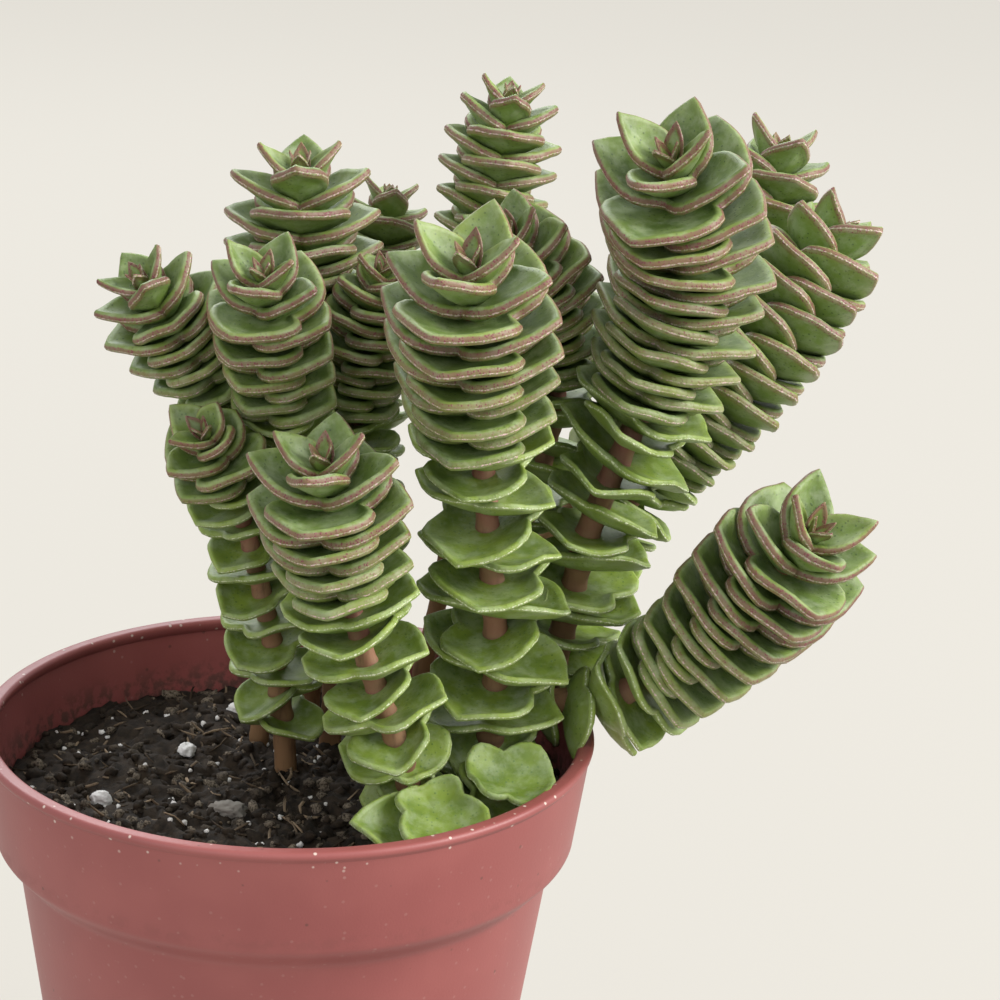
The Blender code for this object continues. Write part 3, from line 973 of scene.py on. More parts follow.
@dataclass(frozen=True)
class LumpFinish:
    """Porous lump: white perlite or grey bark."""
    name: str
    pale: Colour
    deep: Colour
    pore_scale: float
    relief: float = 0.35 * MM

    def build(self) -> bpy.types.Material:
        """Make the material.

        Returns:
            The material.
        """
        recipe = Recipe(self.name)
        cloud = recipe.grain(380, 3.0)
        fine = recipe.grain(self.pore_scale, 4.0, 0.65)
        pores = recipe.spots(self.pore_scale * 0.55, 0.3, 0.5)
        colour = recipe.blend(self.pale, self.deep,
                              cloud.between(0.45, 0.8) * 0.6 + pores * 0.5)
        height = fine * 0.7 + (1 - pores) * 0.3
        return recipe.shade(colour, 0.8 + fine * 0.2, height, self.relief)


PERLITE = LumpFinish("perlite", pale=(0.80, 0.79, 0.76), deep=(0.52, 0.50, 0.46), pore_scale=1500)
BARK = LumpFinish("bark", pale=(0.24, 0.22, 0.19), deep=(0.10, 0.085, 0.07), pore_scale=900)
PERLITE_FACETS = 0.28
BARK_FACETS = 0.40


@dataclass
class Lump:
    """One larger lump lying in the soil, made to fill its node's box."""
    node: str
    slot: str
    material: bpy.types.Material
    facets: float
    seed: float

    def build(self) -> bpy.types.Object:
        """Build the lump from its node's place and size.

        Returns:
            The dressed lump.
        """
        low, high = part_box(self.node)
        middle, half = (low + high) / 2, (high - low) / 2
        work = bmesh.new()
        bmesh.ops.create_icosphere(work, subdivisions=4, radius=1)
        shift = Vector((self.seed, 0, 0))
        for vertex in work.verts:
            way = vertex.co.normalized()
            coarse = noise.noise(way * 1.5 + shift)
            facet = abs(noise.noise(way * 3.4 - shift))
            fine = noise.noise(way * 9 + shift)
            reach = 0.93 + 0.22 * coarse - self.facets * facet + 0.05 * fine
            spot = Vector((way.x * half.x, way.y * half.y, way.z * half.z))
            vertex.co = middle + spot * reach
        mesh = from_bmesh(self.node, work)
        mesh.shade_smooth()
        mesh.materials.append(self.material)
        lump = add_object(self.node + "_lump", mesh)
        attach(lump, self.slot, self.node)
        return lump


# ---- How the shoots grow
@dataclass(frozen=True)
class Shoot:
    """One shoot: its route in millimetres, heights above the soil, and its sizes in metres."""
    name: str
    route: tuple[Triple, ...]
    leaf: float
    crown: float
    open: float
    girth: float
    turn: float
    hang: float = 0.55
    tilt: float = 0.0
    open_step: float = 4.9 * MM


SHOOTS = (
    Shoot("front_tall", ((34, -4, 0), (35, -7, 28), (33, -10, 50), (31, -14, 69), (28, -25, 100)),
          15.0 * MM, 34 * MM, 64 * MM, 2.3 * MM, -22, tilt=0.45),
    Shoot("front_left", ((23, -14, 0), (20, -21, 17), (14, -24, 35), (10, -27, 51), (7, -33, 70)),
          12.8 * MM, 26 * MM, 44 * MM, 2.1 * MM, -12, tilt=0.55),
    Shoot("middle_left", ((6, 20, 0), (6, 18, 21), (2, 12, 42), (-2, 3, 67), (-5, -8, 93)),
          11.2 * MM, 28 * MM, 38 * MM, 2.0 * MM, -30),
    Shoot("far_left", ((-7, 22, 0), (-5, 22, 22), (-6, 19, 48), (-14, 12, 68), (-26, 4, 88)),
          10.5 * MM, 24 * MM, 32 * MM, 1.8 * MM, 20),
    Shoot("low_left", ((-1, 9, 0), (-3, 7, 21), (-7, 2, 43), (-10, -3, 56), (-14, -10, 67)),
          10.4 * MM, 14 * MM, 48 * MM, 2.0 * MM, 45),
    Shoot("back_left", ((1, 32, 0), (2, 33, 26), (0, 30, 66), (-2, 26, 103)),
          13.0 * MM, 33 * MM, 32 * MM, 2.1 * MM, 0),
    Shoot("back_slim", ((10, 37, 0), (11, 43, 30), (10, 47, 70), (12, 51, 94)),
          8.4 * MM, 24 * MM, 26 * MM, 1.7 * MM, 10),
    Shoot("middle_slim", ((16, 22, 0), (14, 24, 26), (9, 22, 60), (13, 15, 89)),
          9.6 * MM, 28 * MM, 28 * MM, 1.8 * MM, 35),
    Shoot("back_tall", ((20, 33, 0), (25, 37, 30), (28, 38, 76), (33, 38, 115)),
          9.8 * MM, 34 * MM, 32 * MM, 1.8 * MM, 4),
    Shoot("back_middle", ((27, 20, 0), (33, 18, 24), (43, 23, 61), (41, 20, 81), (34, 12, 97)),
          11.4 * MM, 32 * MM, 34 * MM, 2.0 * MM, -20),
    Shoot("right_big", ((38, 12, 0), (45, 12, 21), (50, 10, 47), (59, 8, 74), (63, 4, 95),
                        (59, -5, 114)),
          15.0 * MM, 50 * MM, 56 * MM, 2.5 * MM, -25),
    Shoot("right_far", ((34, 22, 0), (41, 26, 20), (59, 31, 48), (77, 33, 71), (91, 41, 93)),
          13.0 * MM, 54 * MM, 34 * MM, 2.3 * MM, 40),
    Shoot("right_back", ((28, 29, 0), (34, 36, 22), (58, 54, 50), (77, 67, 80), (83, 72, 101)),
          12.0 * MM, 40 * MM, 36 * MM, 2.1 * MM, 20),
    Shoot("right_low", ((23, 10, 0), (29, 5, 13), (41, 4, 17), (55, 3, 19), (70, -3, 32),
                        (85, -15, 56)),
          14.0 * MM, 42 * MM, 22 * MM, 2.6 * MM, 15),
)

OFFSETS = {
    "front_left": (
        Shoot("front_left_offset", ((24, -20, 0), (25, -23, 5), (26, -26, 10), (27, -31, 18)),
              16.0 * MM, 3 * MM, 40 * MM, 2.0 * MM, 25, hang=0.1, open_step=2.9 * MM),),
    "front_tall": (
        Shoot("front_tall_offset", ((34, -13, 0), (35, -16, 6), (37, -20, 12), (39, -25, 21)),
              13.5 * MM, 3 * MM, 40 * MM, 2.0 * MM, 95, hang=0.1, open_step=3.2 * MM),),
}


@dataclass(frozen=True)
class GrowthRule:
    """Sizes that all shoots share."""
    soil_level: float = 82 * MM
    soil_bump: float = 1.0 * MM
    root_depth: float = 15 * MM
    fit_gap: float = 0.3 * MM
    top_share: float = 0.62
    sleeve_scale: float = 1 / math.cos(math.pi / 6)
    sleeve_wall: float = 0.7 * MM
    bud_height: float = 2.2 * MM
    tip_step: float = 1.7 * MM
    head_step: float = 3.1 * MM
    large_leaf: float = 15 * MM
    crown_step: float = 2.15 * MM
    step_change: float = 7 * MM
    growth: float = 11 * MM
    young_share: float = 0.32
    old_share: float = 0.83
    young_slope: float = 1.7
    crown_slope: float = 0.42
    old_slope: float = 0.06
    base_stretch: float = 26 * MM
    hidden_tip: float = 9 * MM
    shoulder_angle: float = 47
    shoulder_share: float = 0.84
    smallest_step: float = 0.45
    ageing_start: float = 0.4
    pair_turn: float = 90.4
    crowding_gap: float = 0.6 * MM
    shorten: float = 0.94
    line_checks: int = 9
    first_check: int = 3
    route_steps: int = 12

    def corner_angles(self) -> tuple[float, ...]:
        """Bearings of a pair's six corners, from the first leaf's tip."""
        half = self.shoulder_angle
        return 0, half, 180 - half, 180, 180 + half, 360 - half

    def spacing(self, shoot: Shoot, depth: float) -> float:
        """Distance from a pair to the next one down.

        Args:
            shoot: whose pair it is.
            depth: distance below the tip.

        Returns:
            The distance.
        """
        head = ease(0, 0.6 * self.growth, depth)
        crowded = ease(self.growth, 0.8 * shoot.crown + self.growth, depth)
        opened = ease(shoot.crown - self.step_change, shoot.crown + self.step_change, depth)
        step = self.tip_step + (self.head_step - self.tip_step) * head
        step += (self.crown_step - self.head_step) * crowded
        step *= self.smallest_step + (1 - self.smallest_step) * shoot.leaf / self.large_leaf
        return step + (shoot.open_step - step) * opened

    def leaf_length(self, shoot: Shoot, depth: float) -> float:
        """Length of a leaf, from the stem's axis.

        Args:
            shoot: whose leaf it is.
            depth: distance below the tip.

        Returns:
            The length in plan.
        """
        grown = math.sin(0.5 * math.pi * min(depth / self.growth, 1))
        young = self.young_share + (1 - self.young_share) * grown
        aged = ease(self.ageing_start * shoot.crown, shoot.crown, depth)
        return shoot.leaf * young * (1 - (1 - self.old_share) * aged)

    def leaf_slope(self, shoot: Shoot, route_length: float, depth: float) -> float:
        """Rise of a leaf over its length; the lowest leaves hang.

        Args:
            shoot: whose leaf it is.
            route_length: length of the shoot's route.
            depth: distance below the tip.

        Returns:
            The slope.
        """
        closed = (self.young_slope - self.crown_slope) * (1 - min(depth / self.growth, 1)) ** 2
        opened = shoot.crown + self.ageing_start * shoot.open
        aged = ease(self.ageing_start * shoot.crown, opened, depth)
        fallen = (self.old_slope - self.crown_slope) * aged
        base = route_length - self.root_depth
        low = ease(base - self.base_stretch, base, depth)
        drooped = -(shoot.hang + self.old_slope) * low
        return self.crown_slope + closed + fallen + drooped

    def pair_depths(self, shoot: Shoot, route: Route) -> list[float]:
        """Distances below the tip of a shoot's leaf pairs.

        Args:
            shoot: the shoot.
            route: its route.

        Returns:
            The distances, topmost first.
        """
        lowest = min(shoot.crown + shoot.open, route.length - self.root_depth - shoot.open_step)
        depths = [self.bud_height]
        while depths[-1] + self.spacing(shoot, depths[-1]) < lowest:
            depths.append(depths[-1] + self.spacing(shoot, depths[-1]))
        return depths


RULE = GrowthRule()


class Route:
    """A smooth line through a shoot's points, measured from its tip downwards."""

    def __init__(self, shoot: Shoot) -> None:
        """Lay the line.

        Args:
            shoot: the shoot.
        """
        marks = [Vector((x * MM, y * MM, RULE.soil_level + z * MM)) for x, y, z in shoot.route]
        marks.insert(0, marks[0] - Vector((0, 0, RULE.root_depth)))
        line = []
        for index in range(len(marks) - 1):
            before = marks[max(index - 1, 0)]
            here, there = marks[index], marks[index + 1]
            after = marks[min(index + 2, len(marks) - 1)]
            leaving, arriving = here + (there - before) / 6, there - (after - here) / 6
            line += geometry.interpolate_bezier(here, leaving, arriving, there,
                                                RULE.route_steps + 1)[:-1]
        line.append(marks[-1])
        self.points = line[::-1]
        self.measure = [0.0]
        for first, second in zip(self.points, self.points[1:]):
            self.measure.append(self.measure[-1] + (second - first).length)
        self.length = self.measure[-1]
        self.girth = shoot.girth
        self.sides = self.carry_side()

    def direction(self, index: int) -> Vector:
        """Find the direction towards the tip.

        Args:
            index: which point of the line.

        Returns:
            The unit direction.
        """
        upper = self.points[max(index - 1, 0)]
        lower = self.points[min(index + 1, len(self.points) - 1)]
        return (upper - lower).normalized()

    def carry_side(self) -> list[Vector]:
        """Carry a side direction along the line without twist, from +X at the root.

        Returns:
            One direction for each point.
        """
        sides = [Vector()] * len(self.points)
        side = Vector((1, 0, 0))
        for index in range(len(self.points) - 1, -1, -1):
            axis = self.direction(index)
            side = (side - axis * side.dot(axis)).normalized()
            sides[index] = side
        return sides

    def at(self, depth: float) -> tuple[Vector, Vector, Vector]:
        """Find the line's place and frame.

        Args:
            depth: distance below the tip.

        Returns:
            The place, the axis towards the tip and the side direction.
        """
        index = 0
        while index < len(self.measure) - 2 and self.measure[index + 1] < depth:
            index += 1
        share = (depth - self.measure[index]) / (self.measure[index + 1] - self.measure[index])
        place = self.points[index].lerp(self.points[index + 1], share)
        axis = self.direction(index).lerp(self.direction(index + 1), share).normalized()
        side = self.sides[index].lerp(self.sides[index + 1], share)
        return place, axis, (side - axis * side.dot(axis)).normalized()

    def stem_radius(self, depth: float) -> float:
        """Radius of the stem at a distance below the tip."""
        share = min(max(depth / (self.length - RULE.root_depth), 0), 1)
        return self.girth * (RULE.top_share + (1 - RULE.top_share) * share)


class Surroundings:
    """What a leaf has to stay clear of: the pot, the soil and the other shoots."""

    def __init__(self, pot: Pot, routes: dict[str, Route]) -> None:
        """Sample every shoot.

        Args:
            pot: the pot.
            routes: each shoot's route by its name.
        """
        self.pot = pot
        self.envelopes: dict[str, list[tuple[Vector, float, float]]] = {}
        offsets = [offset for group in OFFSETS.values() for offset in group]
        for shoot in (*SHOOTS, *offsets):
            route, samples, depth = routes.get(shoot.name) or Route(shoot), [], 0.0
            while depth < route.length - RULE.root_depth:
                bare = route.stem_radius(depth) + 2 * RULE.crowding_gap
                leafy = depth < shoot.crown + shoot.open
                room = max(RULE.leaf_length(shoot, depth), bare) if leafy else bare
                samples.append((route.at(depth)[0], room, bare))
                depth += RULE.crown_step
            self.envelopes[shoot.name] = samples

    def free(self, shoot: Shoot, point: Vector) -> bool:
        """Test one point of a leaf.

        Args:
            shoot: whose leaf it is.
            point: the point.

        Returns:
            Whether the point is the shoot's own.
        """
        reach, pot, gap = math.hypot(point.x, point.y), self.pot, RULE.crowding_gap
        if reach < pot.rim_radius + gap and point.z < pot.height + gap:
            if reach > pot.rim_radius - pot.rim_width - gap:
                return False
            if point.z < RULE.soil_level + RULE.soil_bump + gap:
                return False
        own = min((point - place).length / room for place, room, _ in self.envelopes[shoot.name])
        own += gap / shoot.leaf
        for name, samples in self.envelopes.items():
            if name == shoot.name:
                continue
            for place, room, bare in samples:
                distance = (point - place).length
                if distance < bare or distance / room < own:
                    return False
        return True

    def clear_line(self, shoot: Shoot, start: Vector, end: Vector) -> bool:
        """Test the outer two thirds of a line along a leaf.

        Args:
            shoot: whose leaf it is.
            start: the leaf's place on the stem.
            end: a point of its outline.

        Returns:
            Whether the whole line is the shoot's own.
        """
        checks = RULE.line_checks
        return all(self.free(shoot, start.lerp(end, count / checks))
                   for count in range(RULE.first_check, checks + 1))


@dataclass
class LeafPair:
    """One fused pair of leaves: its place, its frame and the room that it has."""
    shoot: Shoot
    route: Route
    depth: float
    bearing: float
    around: Surroundings

    def __post_init__(self) -> None:
        """Find the pair's frame and shorten its crowded sides."""
        self.place, self.axis, side = self.route.at(self.depth)
        other = self.axis.cross(side)
        turn = math.radians(self.bearing)
        self.along = math.cos(turn) * side + math.sin(turn) * other
        self.across = self.axis.cross(self.along)
        self.slope = RULE.leaf_slope(self.shoot, self.route.length, self.depth)
        self.reach = RULE.leaf_length(self.shoot, self.depth)
        shares = (1, RULE.shoulder_share, RULE.shoulder_share) * 2
        self.angles = RULE.corner_angles()
        self.full = [self.reach * share for share in shares]
        self.reaches = list(self.full)
        self.make_room()

    def outline_point(self, index: int) -> Vector:
        """Outer corner of the pair in space.

        Args:
            index: which of its six corners.

        Returns:
            The corner.
        """
        turn, reach = math.radians(self.angles[index]), self.reaches[index]
        flat = reach * (math.cos(turn) * self.along + math.sin(turn) * self.across)
        return self.place + flat + self.slope * reach * self.axis

    def make_room(self) -> None:
        """Shorten crowded corners until the pair is clear of everything."""
        bore = (self.route.stem_radius(self.depth) + RULE.fit_gap) * RULE.sleeve_scale
        least = bore + 2 * RULE.sleeve_wall
        count, changed = len(self.reaches), True
        while changed:
            changed = False
            for index in range(count):
                ahead = (index + 1) % count
                tip, beside = self.outline_point(index), self.outline_point(ahead)
                crowded = not self.around.clear_line(self.shoot, self.place, tip)
                if self.reaches[index] > least and crowded:
                    self.reaches[index] *= RULE.shorten
                    changed = True
                elif not self.around.free(self.shoot, (tip + beside) / 2):
                    for corner in (index, ahead):
                        if self.reaches[corner] > least:
                            self.reaches[corner] *= RULE.shorten
                            changed = True

    def room(self) -> list[float]:
        """Share of its full length that each of the six corners keeps."""
        return [reach / full for reach, full in zip(self.reaches, self.full)]


# ---- Leaf pairs
@dataclass(frozen=True)
class SkinRing:
    """One ring of a pattern: its share of the outline, and how its skin lies off the core."""
    share: float
    lift: float
    out: float
    inset: float
    bend: float


@dataclass(frozen=True)
class PairShape:
    """Pattern of a leaf pair of unit leaf length, its first leaf along +X."""
    name: str
    outline: tuple[Pair, ...]
    seed: int
    curl: float
    uneven: float = 0.035
    wave: float = 0.030
    steps: int = 10
    upper_rings: tuple[float, ...] = (0.16, 0.36, 0.58, 0.78, 0.92)
    margin: tuple[float, ...] = (90, 55, 20, -20, -55, -90)
    under_rings: tuple[float, ...] = (0.88, 0.66, 0.42, 0.20)
    keel: float = 0.85
    dish: float = 0.22
    pole: float = 0.001
    pattern_half: float = 0.06
    tip_crowding: float = 1.15

    def quarter(self, share: float) -> Vector:
        """Point of the outline's first quarter.

        Args:
            share: 0 at the leaf's tip, 1 at the notch between the leaves.

        Returns:
            The point in plan.
        """
        marks = [Vector((*mark, 0)) for mark in self.outline]
        span = share * (len(marks) - 1)
        index = min(int(span), len(marks) - 2)
        here, there = marks[index], marks[index + 1]
        mirror = Vector((-marks[-2].x, marks[-2].y, 0))
        before = marks[index - 1] if index else here
        after = marks[index + 2] if index + 2 < len(marks) else mirror
        spot = span - index
        ahead = here + (there - before) / 6
        back = there - (after - here) / 6
        left = 1 - spot
        start = left ** 3 * here + 3 * left ** 2 * spot * ahead
        return start + 3 * left * spot ** 2 * back + spot ** 3 * there

    def rim_points(self) -> list[Vector]:
        """Outline of the whole pair.

        Returns:
            Points in plan, counterclockwise from the first leaf's tip.
        """
        first = [self.quarter((index / self.steps) ** self.tip_crowding)
                 for index in range(self.steps)]
        second = [Vector((-point.x, point.y, 0)) for point in first[::-1]]
        upper = first + [self.quarter(1.0)] + second[:-1]
        points = []
        for point in upper + [Vector((-point.x, -point.y, 0)) for point in upper]:
            way = point.normalized()
            swell = noise.noise(way * 1.3 + Vector((self.seed * 7.3, 0, 0)))
            ripple = noise.noise(way * 4.1 + Vector((0, self.seed * 5.9, 0)))
            points.append(point * (1 + self.uneven * (swell + 0.5 * ripple)))
        return points

    def weights(self, point: Vector) -> tuple[Triple, Triple]:
        """Work out how far each of the six corners rules a point.

        Args:
            point: a point in plan.

        Returns:
            The weights of the first leaf's three corners and of the second's.
        """
        stops = (*RULE.corner_angles(), 360)
        turn = math.degrees(math.atan2(point.y, point.x)) % 360
        weights = [0.0] * 7
        for index in range(6):
            if stops[index] <= turn <= stops[index + 1]:
                share = (turn - stops[index]) / (stops[index + 1] - stops[index])
                weights[index], weights[index + 1] = 1 - share, share
                break
        weights[0] += weights[6]
        return tuple(weights[:3]), tuple(weights[3:6])

    def rings(self) -> list[SkinRing]:
        """List the rings of the skin.

        Returns:
            The rings, from the middle of the upper face round the margin to the underside.
        """
        up = math.pi / 2
        rings = [SkinRing(self.pole, 1 - self.dish, 0, 1.0, up)]
        for share in self.upper_rings:
            lift = 1 - self.dish * ease(1.0, 0.75, share)
            rings.append(SkinRing(share, lift, 0, 1 - share, up))
        for angle in self.margin:
            bend = math.radians(angle)
            rings.append(SkinRing(1.0, math.sin(bend), math.cos(bend), 0.0, bend))
        for share in self.under_rings:
            rings.append(SkinRing(share, -1 - self.keel * (1 - share), 0, share - 1, -up))
        rings.append(SkinRing(self.pole, -1 - self.keel, 0, -1.0, -up))
        return rings

    def core_height(self, point: Vector, share: float) -> float:
        """Height of the core, which ripples and curls up towards the rim.

        Args:
            point: a point of the outline.
            share: how far out towards it.

        Returns:
            The height.
        """
        way = point.normalized()
        ripple = noise.noise(way * 2.3 + Vector((0, 0, self.seed * 3.7)))
        roll = noise.noise(way * 1.1 + Vector((0, self.seed * 2.9, 0)))
        return self.wave * ripple * share ** 2 + self.curl * (0.7 + 0.9 * roll) * share ** 5

    def build(self) -> bpy.types.Object:
        """Build the pattern with what the layout needs stored on it.

        Returns:
            The pattern; its points' places come from the layout.
        """
        rim = self.rim_points()
        count = len(rim)
        outward = []
        for index in range(count):
            tangent = rim[(index + 1) % count] - rim[index - 1]
            outward.append(Vector((tangent.y, -tangent.x, 0)).normalized())
        rows, cores, skins, insets, arcs = [], [], [], [], []
        for ring in self.rings():
            rows.append(range(len(cores), len(cores) + count))
            for point, way in zip(rim, outward):
                height = self.core_height(point, ring.share)
                cores.append(Vector((point.x * ring.share, point.y * ring.share, height)))
                skins.append(way * ring.out + Vector((0, 0, ring.lift)))
                insets.append(ring.inset * point.length)
                arcs.append(ring.bend)
        faces = []
        for lower, upper in zip(rows, rows[1:]):
            for index in range(count):
                ahead = (index + 1) % count
                faces.append((lower[index], upper[index], upper[ahead], lower[ahead]))
        faces.append(tuple(rows[0]))
        faces.append(tuple(rows[-1][::-1]))
        mesh = bpy.data.meshes.new(self.name)
        places = [core + self.pattern_half * skin for core, skin in zip(cores, skins)]
        mesh.from_pydata(places, [], faces)
        first, second = zip(*(self.weights(core) for core in cores))
        for name, values in zip(PATTERN_DATA, (cores, skins, insets, arcs, first, second)):
            store(mesh, name, values)
        return add_object(self.name, mesh)


PATTERN_DATA = ("core", "skin", "inset", "arc", "share_a", "share_b")
YOUNG_OUTLINE = ((1.0, 0.0), (0.89, 0.19), (0.74, 0.39), (0.57, 0.55), (0.38, 0.62),
                 (0.18, 0.56), (0.0, 0.38))
BROAD_OUTLINE = ((1.0, 0.0), (0.90, 0.19), (0.78, 0.40), (0.62, 0.57), (0.42, 0.67),
                 (0.20, 0.64), (0.0, 0.53))
TIP_OUTLINE = ((1.0, 0.0), (0.87, 0.15), (0.70, 0.30), (0.52, 0.41), (0.34, 0.44),
               (0.16, 0.38), (0.0, 0.25))
YOUNG_CURL = 0.05
BROAD_CURL = 0.15
SHAPES_EACH = 6
FRONT = Vector((0.15, -1, 0))


@dataclass(frozen=True)
class LeafFinish:
    """Fleshy leaf: dotted green with a bloom, a painted glow of light near the margin, and a
    blushed band inside a pale toothed edge.
    """
    name: str
    upper: Colour
    upper_deep: Colour
    under: Colour
    bloom: Colour
    blush: Colour
    crest: Colour
    # colour of the painted light that shines through the thin margin
    glow: Colour
    dot: Colour
    blush_share: float
    bloom_share: float
    soft_light: float = 0.12
    soft_reach: Triple = (0.5, 1.0, 0.25)
    soft_depth: float = 1.2 * MM
    gloss: float = 0.42
    relief: float = 0.12 * MM

    def build(self) -> bpy.types.Material:
        """Make the material.

        Returns:
            The material.
        """
        recipe = Recipe(self.name)
        rim, age, tone = (recipe.attribute(name) for name in ("rim", "age", "tone"))
        cloud = recipe.grain(190, 3.0, 0.55)
        fine = recipe.grain(1500, 3.0, 0.6)
        above = rim.between(-0.25, 0.35)
        green = recipe.blend(self.upper_deep, self.upper,
                             cloud.between(0.3, 0.7) * 0.7 + tone * 0.3)
        green = recipe.blend(self.under, green, above)
        dots = recipe.spots(1250, 0.30, 0.6)
        green = recipe.blend(green, self.dot, dots * 0.75)
        # Painted light: a brighter yellow-green near the margin stands for light shining through
        # the thin leaf edge.
        glow = rim.size().between(3.2, 0.9) * (0.25 + 0.75 * tone)
        green = recipe.blend(green, self.glow, glow * 0.45)
        veil = recipe.grain(330, 4.0, 0.65).between(0.38, 0.72) * self.bloom_share
        green = recipe.blend(green, self.bloom, veil * (1 - 0.3 * dots))
        ragged = rim.size() + (fine - 0.5) * 0.5
        sides = 0.6 + 0.4 * rim.between(-0.5, 0.1)
        band = ragged.between(0.04, 0.18) * ragged.between(1.15, 0.70) * sides
        strength = (1 - 0.85 * age) * self.blush_share
        beads = recipe.spots(2300, 0.42, 0.75)
        blush = band * (0.45 + 0.55 * beads) * strength
        colour = recipe.blend(green, self.blush, blush.least(0.92))
        edge = ragged.between(0.22, 0.04)
        teeth = recipe.grain(2600, 1.0).between(0.45, 0.62)
        colour = recipe.blend(colour, self.crest, edge * (0.12 + 0.75 * teeth))
        rough = 0.42 + 0.18 * veil + 0.12 * fine
        height = fine * 0.35 + dots * 0.2 + band * beads * 0.35
        height = height + edge * recipe.grain(4200, 1.0) * 0.8
        fixed = {"Subsurface Weight": self.soft_light, "Subsurface Radius": self.soft_reach,
                 "Subsurface Scale": self.soft_depth, "Specular IOR Level": self.gloss}
        return recipe.shade(colour, rough, height, self.relief, fixed)


@dataclass(frozen=True)
class PairSeed:
    """What the layout reads at one pair's point; each field is stored as an attribute."""
    place: Vector
    along: Vector
    across: Vector
    axis: Vector
    room_a: tuple[float, ...]
    room_b: tuple[float, ...]
    lean: Vector
    reach: float
    half: float
    slope: float
    fold: float
    cup: float
    age: float
    tone: float
    variant: float
    unit: float


SHADED = ("age", "tone")
DROPPED = {*PATTERN_DATA, *(item.name for item in fields(PairSeed))} - {*SHADED}


@dataclass(frozen=True)
class BudPair:
    """One of the tiny pairs above the topmost one: leaf length as a share, slope and lift."""
    share: float
    slope: float
    lift: float
    half: float = 0.34 * MM
    fold: float = 0.9
    cup: float = 0.15


@dataclass(frozen=True)
class Variety:
    """How leaf pairs differ. Two numbers are a closed pair's value and what opening adds."""
    slope_range: Pair = (0.92, 1.08)
    loose: Pair = (0.05, 0.15)
    shortest: Pair = (0.96, -0.06)
    longest: Pair = (1.04, 0.04)
    fold_per_slope: float = 0.48
    steepest_fold: float = 1.1
    least_fold: float = 0.03
    fold_range: Pair = (0.05, 0.25)
    closed_cup: float = 0.25
    young_cup: float = 0.25
    open_cup: float = 0.55
    cup_play: float = 0.08


